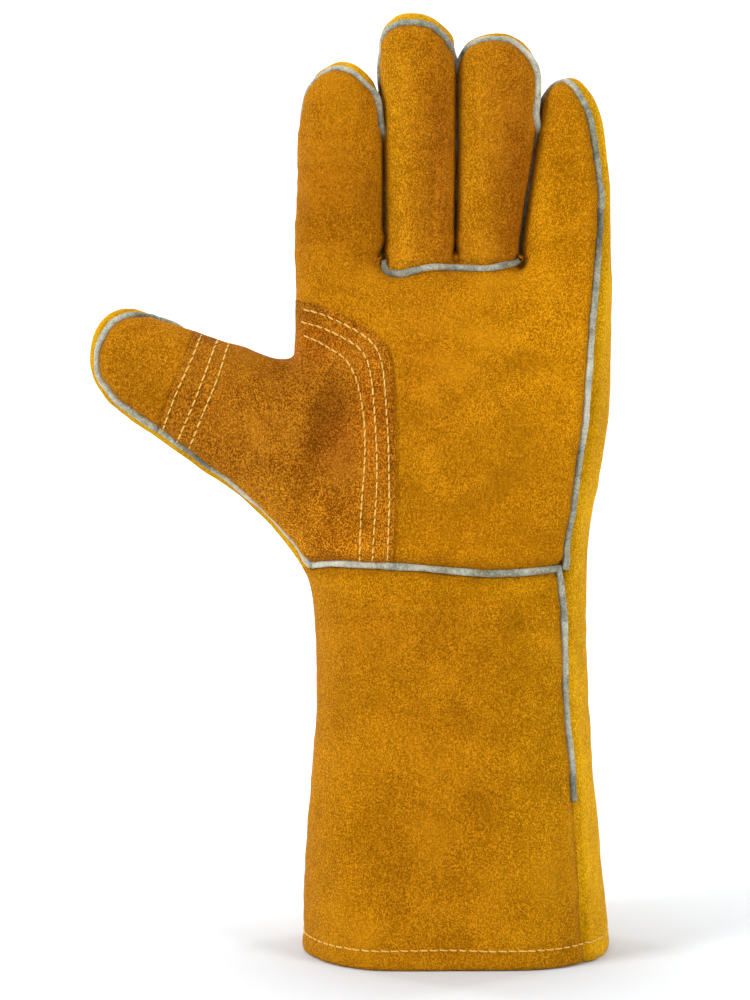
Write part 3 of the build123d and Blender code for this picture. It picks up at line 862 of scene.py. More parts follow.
# soft unevenness of thick leather over a fleece lining
facing_side = smooth01((np.abs(Nv[:, 0]) - 0.5) / 0.4)
swell = (1.4 * noise(Pv, 46.0) + 1.2 * noise(Pv, 24.0, 5.1)) * (1 - 0.55 * facing_side) + 0.75 * noise(Pv, 12.5, 9.7) * (1 - 0.6 * facing_side) + 0.24 * noise(Pv, 5.5, 3.3)
hold = 1 - 0.75 * np.exp(-(np.minimum(np.minimum(d_side, d_wrist), d_base) / 5.0) ** 2)
disp += swell * hold


def crease(a, b, depth, width, wave=2.0, fade=9.0, y_sign=-1, size=14.0):
    """A fold across the leather along the line a-b in the XZ plane, on the palm side (y_sign -1) or the back (+1)."""
    a, b = np.array(a, float), np.array(b, float)
    u = (b - a) / np.linalg.norm(b - a)
    q = Pv[:, [0, 2]] - a
    along = q @ u
    length = np.linalg.norm(b - a)
    across = q @ np.array([-u[1], u[0]]) + wave * noise(Pv * 1.0, size, a[0] * 0.1)
    inside = smooth01((along + fade * 0.3) / fade) * smooth01((length - along + fade * 0.3) / fade)
    side = smooth01(0.5 - y_sign * (Nv[:, 1] * -1) * 0.5 * 1.6) if False else smooth01((y_sign * Nv[:, 1] + 0.15) / 0.6)
    return (-depth * np.exp(-(across / width) ** 2) + 0.45 * depth * np.exp(-((np.abs(across) - 1.9 * width) / (0.9 * width)) ** 2)) * inside * side


# folds where the hand bends: palm lines, finger roots, thumb root, wrist
disp += crease((-20, 262), (44, 250), 0.8, 4.0, wave=4.0)
disp += crease((-24, 226), (40, 262), 0.9, 5.0, wave=4.0, fade=16.0)
disp += crease((-10, 186), (36, 214), 0.8, 5.0, wave=3.0, fade=16.0)
disp += crease((-58, 196), (-34, 184), 0.45, 2.6)
disp += crease((-70, 186), (-51, 244), 1.5, 5.0, wave=3.0, fade=16.0)
disp += crease((-88, 250), (-72, 214), 0.45, 3.2)
disp += crease((-94, 252), (-84, 206), 0.40, 2.4)
disp += crease((-60, 306), (-38, 303), 0.40, 2.2)
disp += crease((40, 304), (60, 306), 0.40, 2.2)
disp += crease((-50, 160), (44, 157), 0.5, 3.0)
disp += crease((-44, 120), (20, 96), 0.8, 6.0, wave=5.0, fade=20.0)
disp += crease((-20, 74), (44, 52), 0.7, 6.0, wave=5.0, fade=20.0)
disp += crease((-34, 44), (10, 30), 0.6, 4.5, wave=4.0, fade=16.0)
disp += crease((20, 150), (40, 110), 0.7, 4.5, wave=3.0, fade=14.0)
disp += crease((-56, 148), (50, 143), 0.30, 4.0)
for name, zp in (("index", 340.0), ("middle", 348.0), ("ring", 344.0), ("little", 336.0)):
    k = ORDER.index(name)
    only = (V[:, 6] == k)
    xs_ = [p[0] for p in FINGERS[name][0]]
    for dz, amt in ((-5.0, 0.32), (1.5, 0.42), (8.0, 0.25)):
        disp += only * crease((min(xs_) + 3, zp + dz), (max(xs_) - 3, zp + dz + 1.5), amt, 1.9, wave=1.2, fade=6.0, size=9.0)
        disp += only * crease((min(xs_) + 3, zp + dz), (max(xs_) - 3, zp + dz + 1.5), amt * 0.9, 2.2, wave=1.4, fade=6.0, y_sign=1, size=9.0)
for c in ((-70, 306, -34, 306), (-30, 308, -3, 308), (2, 308, 26, 306), (30, 305, 63, 304)):
    disp += crease((c[0], c[1]), (c[2], c[3]), 0.5, 3.0, y_sign=1)
disp += crease((-56, 176), (38, 172), 0.35, 5.0, y_sign=1)
disp += crease((-100, 250), (-88, 212), 0.45, 2.6, y_sign=1)

# the hem is folded under: its lower edge rounds inwards
edge = np.clip(1 - Pv[:, 2] / 2.2, 0, 1)
disp -= 1.5 * (1 - np.sqrt(np.maximum(1 - edge ** 2, 0)))
# hem stitches press the leather in a little
disp -= 0.35 * np.exp(-((Pv[:, 2] - 8.5) / 1.7) ** 2)
disp += 0.25 * np.exp(-((Pv[:, 2] - 4.2) / 2.2) ** 2)
# nothing sinks through the floor or swells past the neighbouring finger
disp = np.where(Pv[:, 2] < 0.5, np.minimum(disp, 0.2), disp)
disp = disp * (1 - crevice) + (0.22 + 0.12 * noise(Pv, 9.0)) * crevice
# the corner of the patch puffs up beside its stitch rows
front = smooth01((-Nv[:, 1] - 0.1) / 0.4)
soft = 1.3 * noise(Pv, 46.0) * (1 - 0.55 * facing_side) + 0.9 * noise(Pv, 24.0, 5.1)
# fold: the relief's rise and fall, which the leather's colour follows as a painted highlight on ridges and painted
# shade in hollows; the swellings and dents below add to it
fold = disp - 0.55 * soft
for bx, bz, size, amount in ((-47.0, 256.0, 9.0, 2.2), (-58.0, 263.0, 6.0, -1.4), (-54.0, 236.0, 8.0, -1.9), (-82.0, 228.0, 15.0, 1.8), (-40.0, 212.0, 12.0, 1.4), (4.0, 262.0, 24.0, 1.8), (26.0, 214.0, 26.0, -1.8), (-16.0, 196.0, 15.0, -1.5), (-44.0, 188.0, 8.0, -1.0), (16.0, 286.0, 10.0, 1.0)):
    disp += front * amount * np.exp(-((Pv[:, 0] - bx) ** 2 + (Pv[:, 2] - bz) ** 2) / size ** 2)
    fold += 0.8 * front * amount * np.exp(-((Pv[:, 0] - bx) ** 2 + (Pv[:, 2] - bz) ** 2) / size ** 2)
fold = np.clip(np.where(crevice > 0.5, 0, fold) / 1.9, -1, 1) * (1 - np.exp(-(np.minimum(np.minimum(d_side, d_wrist), d_base) / 3.0) ** 2))
moved = Pv + Nv * disp[:, None]
moved[:, 2] = np.where(Pv[:, 2] < 1e-6, 0.0, np.maximum(moved[:, 2], 0.0))
Nm = normals_of(moved, T)
print("relief", round(time.time() - began, 1), float(disp.min()), float(disp.max()))

# the patch stands on the leather by its own thickness, and runs into the seams around it
near_seam = np.exp(-(np.minimum(d_side, d_wrist) / 2.6) ** 2)
patch_lift = 1.10 * (1 - 0.75 * near_seam) * (0.30 + 0.70 * smooth01((-Nv[:, 1] - 0.05) / 0.45))

# =====================================================================
# zones of the skin; the cuff and hand zones ride on their bodies
# =====================================================================
ZONES = {}


def zone_of(P, k):
    """Returns the x and z of points and gives no zone number; the zones are 0 cuff, 1 cuff top, 2 hand bottom, 3 hand,
    4+2i / 5+2i lower and upper part of finger i, 12/13 thumb.
    """
    x, z = P[:, 0], P[:, 2]
    return x, z


fields = []      # (field on V, labels it applies to)


def add_cut(V, T, lab, zone, func, which, new, side=1):
    """Cuts the triangles of zones `which` along func = 0 and gives the positive side the zone `new`."""
    f = func(V)
    combo = zone * 100 + lab
    todo = {c for c in np.unique(combo) if (c // 100) in which}
    V, T, combo, f = split_labelled(V, T, combo, f, todo)
    zone, lab = combo // 100, combo % 100
    m = np.isin(zone, list(which)) & (f[T].mean(1) > 0)
    zone = zone.copy()
    zone[m] = new
    return V, T, lab, zone


# carry everything that later steps need through the cuts: x y z n n n finger | moved xyz, normal, patch lift, raw
# distance, fold (for the painted highlight and painted shade of the relief)
V = np.concatenate([V, moved, Nm, patch_lift[:, None], np.minimum(d_side + 8 * crevice, 30)[:, None], np.minimum(d_wrist, 30)[:, None], fold[:, None]], 1)
zone = np.where(np.isin(lab, (10, 11)), 0, 3)
V, T, lab, zone = add_cut(V, T, lab, zone, lambda V: V[:, 2] - 146.0, {0}, 1)
V, T, lab, zone = add_cut(V, T, lab, zone, lambda V: 190.0 - V[:, 2], {3}, 2)
V, T, lab, zone = add_cut(V, T, lab, zone, lambda V: np.minimum(thumb_t(V[:, 0], V[:, 2]) - T_SPLIT[0], -70.3 - V[:, 0]), {3}, 12)
V, T, lab, zone = add_cut(V, T, lab, zone, lambda V: thumb_t(V[:, 0], V[:, 2]) - T_SPLIT[2], {12}, 13)
V, T, lab, zone = add_cut(V, T, lab, zone, lambda V: V[:, 2] - 297.0, {3}, 20)
m = zone == 20
kk = np.round(V[T[:, 0], 6] * 0 + np.max(V[T, 6], axis=1)).astype(int)
zone[m] = 4 + 2 * kk[m]
for i, name in enumerate(ORDER):
    V, T, lab, zone = add_cut(V, T, lab, zone, lambda V, s=SPLITS[name][2]: V[:, 2] - s, {4 + 2 * i}, 5 + 2 * i)
print("zones", {int(z): int((zone == z).sum()) for z in np.unique(zone)}, round(time.time() - began, 1))
ZONE_NAMES = {0: "cuff", 1: "cuff_top", 2: "wrist", 3: "hand", 12: "thumb_lower", 13: "thumb_upper"}
for i, name in enumerate(ORDER):
    ZONE_NAMES[4 + 2 * i], ZONE_NAMES[5 + 2 * i] = f"{name}_lower", f"{name}_upper"


def attach(ob, zone):
    """Makes a piece of the cuff or hand zone follow that body; a piece of any other zone keeps its place, its transform
    baked into the mesh.
    """
    if zone == 0:
        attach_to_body(ob, "cuff")
    elif zone in (1, 2):
        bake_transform(ob)
    elif zone == 3:
        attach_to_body(ob, "hand")
    elif zone in (12, 13):
        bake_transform(ob)
    else:
        if zone % 2 == 0:
            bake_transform(ob)
        else:
            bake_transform(ob)


def mesh_object(name, verts_mm, faces, normals=None, attrs=None):
    me = bpy.data.meshes.new(name)
    faces = np.asarray(faces, np.int32)
    me.vertices.add(len(verts_mm))
    me.vertices.foreach_set("co", (np.asarray(verts_mm, np.float32) * 0.001).ravel())
    n = faces.shape[1]
    me.loops.add(faces.size)
    me.loops.foreach_set("vertex_index", faces.ravel())
    me.polygons.add(len(faces))
    me.polygons.foreach_set("loop_start", np.arange(0, faces.size, n, dtype=np.int32))
    me.polygons.foreach_set("use_smooth", np.ones(len(faces), bool))
    me.update(calc_edges=True)
    me.validate()
    for key, val in (attrs or {}).items():
        a = me.attributes.new(key, "FLOAT", "POINT")
        a.data.foreach_set("value", np.asarray(val, np.float32))
    if normals is not None:
        me.normals_split_custom_set_from_vertices(np.asarray(normals, np.float32))
    ob = bpy.data.objects.new(name, me)
    bpy.context.scene.collection.objects.link(ob)
    return ob


def shell_piece(name, V, T, mask, thick, lift=None, under=None):
    """A sheet of leather: outer face, inner face and the cut edge around it."""
    t = T[mask]
    ids, inv = np.unique(t, return_inverse=True)
    t = inv.reshape(t.shape)
    P, N = V[ids, 7:10], V[ids, 10:13]
    N = N / np.maximum(np.linalg.norm(N, axis=1), 1e-9)[:, None]
    outer = P + (N * lift[ids][:, None] if lift is not None else 0)
    inner = (P - N * thick) if under is None else P + N * under
    inner[:, 2] = np.maximum(inner[:, 2], 0.0)
    n = len(ids)
    e = np.concatenate([t[:, [0, 1]], t[:, [1, 2]], t[:, [2, 0]]])
    key = np.sort(e, 1)
    k = key[:, 0] * n + key[:, 1]
    u, first, count = np.unique(k, return_index=True, return_counts=True)
    rim = e[first[count == 1]]
    # rim vertices are their own, so that the cut edge is sharp
    r_ids = np.unique(rim)
    look = np.full(n, -1)
    look[r_ids] = np.arange(len(r_ids))
    m = len(r_ids)
    a, b = look[rim[:, 0]], look[rim[:, 1]]
    ro, ri = 2 * n + a, 2 * n + b
    verts = np.concatenate([outer, inner, outer[r_ids], inner[r_ids]])
    side = np.concatenate([np.stack([2 * n + b, 2 * n + a, 2 * n + m + a], 1), np.stack([2 * n + b, 2 * n + m + a, 2 * n + m + b], 1)])
    faces = np.concatenate([t, t[:, ::-1] + n, side])
    # normals
    en = np.cross(outer[rim[:, 1]] - outer[rim[:, 0]], N[rim[:, 0]])
    rn = np.zeros((m, 3))
    for i in range(3):
        np.add.at(rn[:, i], a, en[:, i])
        np.add.at(rn[:, i], b, en[:, i])
    rn /= np.maximum(np.linalg.norm(rn, axis=1), 1e-9)[:, None]
    normals = np.concatenate([N, -N, rn, rn])
    seam = np.concatenate([np.minimum(V[ids, 14], V[ids, 15])] * 2 + [np.minimum(V[r_ids * 0 + ids[r_ids], 14], V[ids[r_ids], 15])] * 2)
    # column 16, fold: drives the painted highlight and painted shade of the relief
    fold_rub_and_shade = V[ids, 16] if V.shape[1] > 16 else np.zeros(n)
    fold_rub_and_shade = np.concatenate([fold_rub_and_shade, fold_rub_and_shade * 0, fold_rub_and_shade[r_ids], fold_rub_and_shade[r_ids]])
    return mesh_object(name, verts, faces, normals, {"seam": seam, "fold": fold_rub_and_shade})

# =====================================================================
# materials
# =====================================================================


def new_material(name):
    m = bpy.data.materials.new(name)
    m.use_nodes = True
    nt = m.node_tree
    nt.nodes.clear()
    out = nt.nodes.new("ShaderNodeOutputMaterial")
    b = nt.nodes.new("ShaderNodeBsdfPrincipled")
    nt.links.new(b.outputs[0], out.inputs[0])
    return m, nt, b


def node(nt, kind, **kw):
    n = nt.nodes.new(kind)
    for k, v in kw.items():
        if k.startswith("i_"):
            n.inputs[k[2:].replace("_", " ")].default_value = v
        else:
            setattr(n, k, v)
    return n


def mathn(nt, op, a, b=None, clamp=False):
    n = nt.nodes.new("ShaderNodeMath")
    n.operation = op
    n.use_clamp = clamp
    for i, v in enumerate((a, b)):
        if v is None:
            continue
        if isinstance(v, (int, float)):
            n.inputs[i].default_value = v
        else:
            nt.links.new(v, n.inputs[i])
    return n.outputs[0]


def mixc(nt, fac, a, b, mode="MIX"):
    n = nt.nodes.new("ShaderNodeMix")
    n.data_type = "RGBA"
    n.blend_type = mode
    n.clamp_factor = True
    if isinstance(fac, (int, float)):
        n.inputs[0].default_value = fac
    else:
        nt.links.new(fac, n.inputs[0])
    for i, v in ((6, a), (7, b)):
        if isinstance(v, tuple):
            n.inputs[i].default_value = (*v, 1.0)
        else:
            nt.links.new(v, n.inputs[i])
    return n.outputs[2]


def ramp(nt, fac, stops):
    n = nt.nodes.new("ShaderNodeValToRGB")
    while len(n.color_ramp.elements) < len(stops):
        n.color_ramp.elements.new(0.5)
    for e, (p, c) in zip(n.color_ramp.elements, stops):
        e.position = p
        e.color = (*c, 1.0) if isinstance(c, tuple) else (c, c, c, 1.0)
    nt.links.new(fac, n.inputs[0])
    return n.outputs[0]


def noise_node(nt, vec, scale, detail=3.0, rough=0.55, shift=(0, 0, 0), stretch=(1, 1, 1), rot=(0, 0, 0)):
    mp = nt.nodes.new("ShaderNodeMapping")
    mp.inputs["Location"].default_value = shift
    mp.inputs["Rotation"].default_value = rot
    mp.inputs["Scale"].default_value = stretch
    nt.links.new(vec, mp.inputs[0])
    n = nt.nodes.new("ShaderNodeTexNoise")
    n.inputs["Scale"].default_value = scale
    n.inputs["Detail"].default_value = detail
    n.inputs["Roughness"].default_value = rough
    nt.links.new(mp.outputs[0], n.inputs["Vector"])
    return n.outputs[0]


def suede(name, dark, mid, light, shift=(0, 0, 0), nap=0.9, blotch=1.0, grit=1.0, deep=0.0009, light_shade_and_nap_areas=()):
    """Split cowhide: a brushed nap with loose fibres, blotches where the nap lies differently, painted highlight on
    high spots and painted shade in folds (partly nap rubbed pale), painted shade beside the seams, and broad tints of
    painted light and painted shade.
    """
    m, nt, b = new_material(name)
    tc = nt.nodes.new("ShaderNodeTexCoord").outputs["Object"]
    big = noise_node(nt, tc, 22.0, 3.0, 0.6, shift)
    patchy = noise_node(nt, tc, 85.0, 4.0, 0.62, (shift[0] + 3, 1, 2))
    brush = noise_node(nt, tc, 210.0, 4.0, 0.7, (1, shift[1], 5), stretch=(1.0, 1.0, 0.28), rot=(0.0, 0.35, 0.0))
    grain = noise_node(nt, tc, 1150.0, 3.0, 0.7, (0, 7, 1))
    fibre = noise_node(nt, tc, 2500.0, 2.0, 0.75, (4, 0, 9), stretch=(1.0, 1.0, 0.6))
    t = mathn(nt, "MULTIPLY", mathn(nt, "SUBTRACT", big, 0.5), 0.62 * blotch)
    t = mathn(nt, "ADD", t, mathn(nt, "MULTIPLY", mathn(nt, "SUBTRACT", patchy, 0.5), 0.50 * blotch))
    t = mathn(nt, "ADD", t, mathn(nt, "MULTIPLY", mathn(nt, "SUBTRACT", brush, 0.5), 0.26))
    t = mathn(nt, "ADD", t, mathn(nt, "MULTIPLY", mathn(nt, "SUBTRACT", grain, 0.5), grit * 1.6))
    t = mathn(nt, "ADD", t, mathn(nt, "MULTIPLY", mathn(nt, "SUBTRACT", fibre, 0.5), grit * 2.1))
    t = mathn(nt, "ADD", t, 0.5)
    colour = ramp(nt, t, [(0.10, tuple(c * 0.72 for c in dark)), (0.34, dark), (0.52, mid), (0.72, light), (0.95, tuple(min(1, c * 1.25) for c in light))])
    # painted highlight on the high spots and painted shade in the folds, partly also nap rubbed pale on the high spots
    fold_rub_and_shade_attr = nt.nodes.new("ShaderNodeAttribute")
    fold_rub_and_shade_attr.attribute_name = "fold"
    high = mathn(nt, "MAXIMUM", fold_rub_and_shade_attr.outputs["Fac"], 0.0)
    low = mathn(nt, "MAXIMUM", mathn(nt, "MULTIPLY", fold_rub_and_shade_attr.outputs["Fac"], -1.0), 0.0)
    colour = mixc(nt, mathn(nt, "MULTIPLY", high, 0.48, clamp=True), colour, tuple(min(1, c * 1.12) for c in light))
    colour = mixc(nt, mathn(nt, "MULTIPLY", low, 0.44, clamp=True), colour, tuple(c * 0.66 for c in dark))
    place = nt.nodes.new("ShaderNodeSeparateXYZ")
    nt.links.new(tc, place.inputs[0])
    # each area multiplies the colour, lighter ones as painted light and darker ones as painted shade, partly also nap
    # lying another way
    for x, z, across, up, tint in light_shade_and_nap_areas:
        u = mathn(nt, "POWER", mathn(nt, "ABSOLUTE", mathn(nt, "DIVIDE", mathn(nt, "SUBTRACT", place.outputs[0], x), across)), 2.0)
        v = mathn(nt, "POWER", mathn(nt, "ABSOLUTE", mathn(nt, "DIVIDE", mathn(nt, "SUBTRACT", place.outputs[2], z), up)), 2.0)
        colour = mixc(nt, mathn(nt, "EXPONENT", mathn(nt, "MULTIPLY", mathn(nt, "ADD", u, v), -1.0)), colour, tint, "MULTIPLY")
    # painted shade beside the seams: a thin dark line next to each welt and a wide soft darkening around it
    at = nt.nodes.new("ShaderNodeAttribute")
    at.attribute_name = "seam"
    near = mathn(nt, "EXPONENT", mathn(nt, "MULTIPLY", mathn(nt, "SUBTRACT", at.outputs["Fac"], 1.2), -1.4))
    near = mathn(nt, "MULTIPLY", mathn(nt, "MINIMUM", near, 1.0), mathn(nt, "ADD", 0.38, mathn(nt, "MULTIPLY", patchy, 0.5)))
    wide = mathn(nt, "MULTIPLY", mathn(nt, "EXPONENT", mathn(nt, "MULTIPLY", at.outputs["Fac"], -0.16)), 0.13)
    near = mathn(nt, "MAXIMUM", near, wide)
    colour = mixc(nt, near, colour, tuple(c * 0.42 for c in dark))
    # a few dark scuffs and pale rubbed flecks
    scuff = ramp(nt, noise_node(nt, tc, 130.0, 5.0, 0.78, (9, 4, shift[2])), [(0.30, 1.0), (0.37, 0.0)])
    colour = mixc(nt, mathn(nt, "MULTIPLY", scuff, 0.45), colour, tuple(c * 0.6 for c in dark))
    fleck = ramp(nt, noise_node(nt, tc, 420.0, 3.0, 0.8, (2, 8, shift[2])), [(0.66, 0.0), (0.74, 1.0)])
    colour = mixc(nt, mathn(nt, "MULTIPLY", fleck, 0.28), colour, tuple(min(1, c * 1.35 + 0.02) for c in light))
    nt.links.new(colour, b.inputs["Base Color"])
    rough = mathn(nt, "ADD", 0.82, mathn(nt, "MULTIPLY", patchy, 0.16))
    nt.links.new(rough, b.inputs["Roughness"])
    b.inputs["Specular IOR Level"].default_value = 0.10
    b.inputs["Specular Tint"].default_value = (1.0, 0.6, 0.15, 1.0)
    b.inputs["Sheen Weight"].default_value = 0.10
    b.inputs["Sheen Roughness"].default_value = 0.45
    b.inputs["Sheen Tint"].default_value = (1.0, 0.60, 0.10, 1.0)
    h = mathn(nt, "ADD", mathn(nt, "MULTIPLY", grain, 0.9), mathn(nt, "MULTIPLY", fibre, 0.6))
    h = mathn(nt, "ADD", h, mathn(nt, "MULTIPLY", brush, 0.9))
    h = mathn(nt, "ADD", h, mathn(nt, "MULTIPLY", patchy, 0.9))
    bump = nt.nodes.new("ShaderNodeBump")
    bump.inputs["Strength"].default_value = nap
    bump.inputs["Distance"].default_value = deep
    nt.links.new(h, bump.inputs["Height"])
    nt.links.new(bump.outputs[0], b.inputs["Normal"])
    return m


# broad areas, (x, z, half width, half height, tint): painted light and painted shade, partly also nap lying another
# way: paler sides of the palm and cuff, a darker index, lightened strips along the wrist seam, lighter and darker spots
# on the patch
PALM = suede("suede_palm", (0.362, 0.124, 0.0010), (0.468, 0.169, 0.0020), (0.605, 0.245, 0.0050), (0, 0, 0), blotch=0.85, grit=1.35,
             light_shade_and_nap_areas=((-0.052, 0.325, 0.026, 0.036, (0.78, 0.69, 1.0)), (0.033, 0.335, 0.005, 0.034, (1.20, 1.32, 1.0)), (0.042, 0.245, 0.026, 0.080, (1.18, 1.24, 1.0)), (-0.016, 0.256, 0.016, 0.026, (0.94, 0.88, 1.0)), (0.0, 0.180, 0.040, 0.014, (1.14, 1.14, 1.0))))
# fingers: painted light down the left side of the middle and ring fingers, painted shade down their right sides
FING = suede("suede_fingers", (0.345, 0.115, 0.0012), (0.455, 0.160, 0.0026), (0.600, 0.240, 0.0080), (5, 2, 1), grit=1.35,
             light_shade_and_nap_areas=((-0.007, 0.340, 0.008, 0.060, (0.78, 0.66, 1.0)), (0.024, 0.335, 0.009, 0.060, (0.78, 0.66, 1.0)), (-0.029, 0.345, 0.007, 0.050, (1.22, 1.42, 1.0)), (0.002, 0.345, 0.006, 0.050, (1.22, 1.38, 1.0))))
PATC = suede("suede_patch", (0.240, 0.061, 0.0012), (0.380, 0.111, 0.0030), (0.600, 0.228, 0.0120), (8, 1, 6), nap=1.0, grit=1.6, deep=0.0014,
             light_shade_and_nap_areas=((-0.046, 0.176, 0.034, 0.022, (1.55, 1.62, 1.2)), (-0.080, 0.192, 0.022, 0.013, (1.22, 1.28, 1.1)), (-0.051, 0.222, 0.010, 0.016, (0.84, 0.72, 0.9)),
                    (-0.036, 0.232, 0.007, 0.030, (1.30, 1.18, 1.0)), (-0.060, 0.263, 0.014, 0.010, (1.28, 1.14, 1.0)), (-0.100, 0.240, 0.010, 0.020, (1.06, 1.04, 1.0))))
CUFF = suede("suede_cuff", (0.330, 0.113, 0.0010), (0.430, 0.154, 0.0020), (0.570, 0.228, 0.0052), (2, 6, 8), blotch=0.70, grit=1.35,
             light_shade_and_nap_areas=((0.038, 0.085, 0.022, 0.110, (1.12, 1.26, 1.0)), (-0.050, 0.060, 0.014, 0.060, (1.12, 1.16, 1.0)), (-0.032, 0.142, 0.016, 0.014, (0.92, 0.88, 1.0)), (0.004, 0.161, 0.075, 0.006, (1.20, 1.28, 1.0)), (0.0, 0.018, 0.060, 0.012, (1.08, 1.10, 1.0))))
# back leather: lighter and yellower than the front panels, partly its own colour and partly a painted highlight for the
# light along the right-hand edge
BACK = suede("suede_back", (0.520, 0.232, 0.0012), (0.668, 0.318, 0.0028), (0.830, 0.440, 0.0090), (7, 3, 2), blotch=0.9)


def welt_material():
    m, nt, b = new_material("welt_leather_grey")
    tc = nt.nodes.new("ShaderNodeTexCoord").outputs["Object"]
    big = noise_node(nt, tc, 24.0, 3.0, 0.65)
    mid = noise_node(nt, tc, 330.0, 4.0, 0.7, (2, 2, 2))
    fine = noise_node(nt, tc, 1700.0, 3.0, 0.75, (5, 2, 1))
    t = mathn(nt, "ADD", mathn(nt, "MULTIPLY", big, 1.5), mathn(nt, "MULTIPLY", mid, 0.7))
    t = mathn(nt, "ADD", t, mathn(nt, "MULTIPLY", fine, 1.0))
    t = mathn(nt, "SUBTRACT", t, 1.10)
    colour = ramp(nt, t, [(0.15, (0.070, 0.076, 0.052)), (0.38, (0.20, 0.205, 0.15)), (0.56, (0.40, 0.395, 0.305)), (0.80, (0.66, 0.645, 0.53))])
    # dust of the leather beside it
    stain = ramp(nt, noise_node(nt, tc, 330.0, 4.0, 0.75, (1, 6, 3)), [(0.54, 0.0), (0.68, 1.0)])
    colour = mixc(nt, mathn(nt, "MULTIPLY", stain, 0.40), colour, (0.36, 0.18, 0.04))
    nt.links.new(colour, b.inputs["Base Color"])
    nt.links.new(mathn(nt, "ADD", 0.66, mathn(nt, "MULTIPLY", mid, 0.25)), b.inputs["Roughness"])
    b.inputs["Specular IOR Level"].default_value = 0.30
    b.inputs["Sheen Weight"].default_value = 0.10
    bump = nt.nodes.new("ShaderNodeBump")
    bump.inputs["Strength"].default_value = 0.9
    bump.inputs["Distance"].default_value = 0.0007
    nt.links.new(mathn(nt, "ADD", mid, mathn(nt, "MULTIPLY", fine, 0.6)), bump.inputs["Height"])
    nt.links.new(bump.outputs[0], b.inputs["Normal"])
    return m


def thread_material():
    m, nt, b = new_material("thread_cream")
    tc = nt.nodes.new("ShaderNodeTexCoord").outputs["Object"]
    w = nt.nodes.new("ShaderNodeTexWave")
    w.inputs["Scale"].default_value = 900.0
    w.inputs["Distortion"].default_value = 1.5
    w.bands_direction = "DIAGONAL"
    nt.links.new(tc, w.inputs["Vector"])
    n = noise_node(nt, tc, 160.0, 3.0, 0.6)
    colour = mixc(nt, n, (0.74, 0.44, 0.070), (0.98, 0.68, 0.20))
    colour = mixc(nt, mathn(nt, "MULTIPLY", w.outputs["Fac"], 0.25), colour, (0.52, 0.28, 0.05))
    nt.links.new(colour, b.inputs["Base Color"])
    nt.links.new(mathn(nt, "ADD", 0.6, mathn(nt, "MULTIPLY", n, 0.2)), b.inputs["Roughness"])
    b.inputs["Specular IOR Level"].default_value = 0.15
    bump = nt.nodes.new("ShaderNodeBump")
    bump.inputs["Strength"].default_value = 0.6
    bump.inputs["Distance"].default_value = 0.0002
    nt.links.new(w.outputs["Fac"], bump.inputs["Height"])
    nt.links.new(bump.outputs[0], b.inputs["Normal"])
    return m


def fleece_material():
    m, nt, b = new_material("fleece_lining")
    tc = nt.nodes.new("ShaderNodeTexCoord").outputs["Object"]
    lumps = noise_node(nt, tc, 300.0, 4.0, 0.75)
    fine = noise_node(nt, tc, 1500.0, 3.0, 0.8, (3, 3, 3))
    big = noise_node(nt, tc, 30.0, 2.0, 0.5, (1, 1, 1))
    t = mathn(nt, "ADD", mathn(nt, "MULTIPLY", lumps, 0.5), mathn(nt, "MULTIPLY", fine, 0.5))
    colour = ramp(nt, t, [(0.30, (0.56, 0.50, 0.39)), (0.50, (0.74, 0.69, 0.58)), (0.70, (0.88, 0.85, 0.76))])
    colour = mixc(nt, mathn(nt, "MULTIPLY", big, 0.3), colour, (0.62, 0.50, 0.34))
    nt.links.new(colour, b.inputs["Base Color"])
    nt.links.new(mathn(nt, "ADD", 0.86, mathn(nt, "MULTIPLY", fine, 0.12)), b.inputs["Roughness"])
    b.inputs["Sheen Weight"].default_value = 0.35
    bump = nt.nodes.new("ShaderNodeBump")
    bump.inputs["Strength"].default_value = 1.0
    bump.inputs["Distance"].default_value = 0.0012
    nt.links.new(t, bump.inputs["Height"])
    nt.links.new(bump.outputs[0], b.inputs["Normal"])
    return m


WELT_M, THREAD_M, FLEECE_M = welt_material(), thread_material(), fleece_material()

# =====================================================================
# leather pieces
# =====================================================================
replaced = {}


def finish_piece(ob, mat, zone, nodes=()):
    ob.data.materials.append(mat)
    attach(ob, zone)
    if nodes:
        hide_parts(*nodes)
        for n in nodes:
            replaced[n] = ob.name


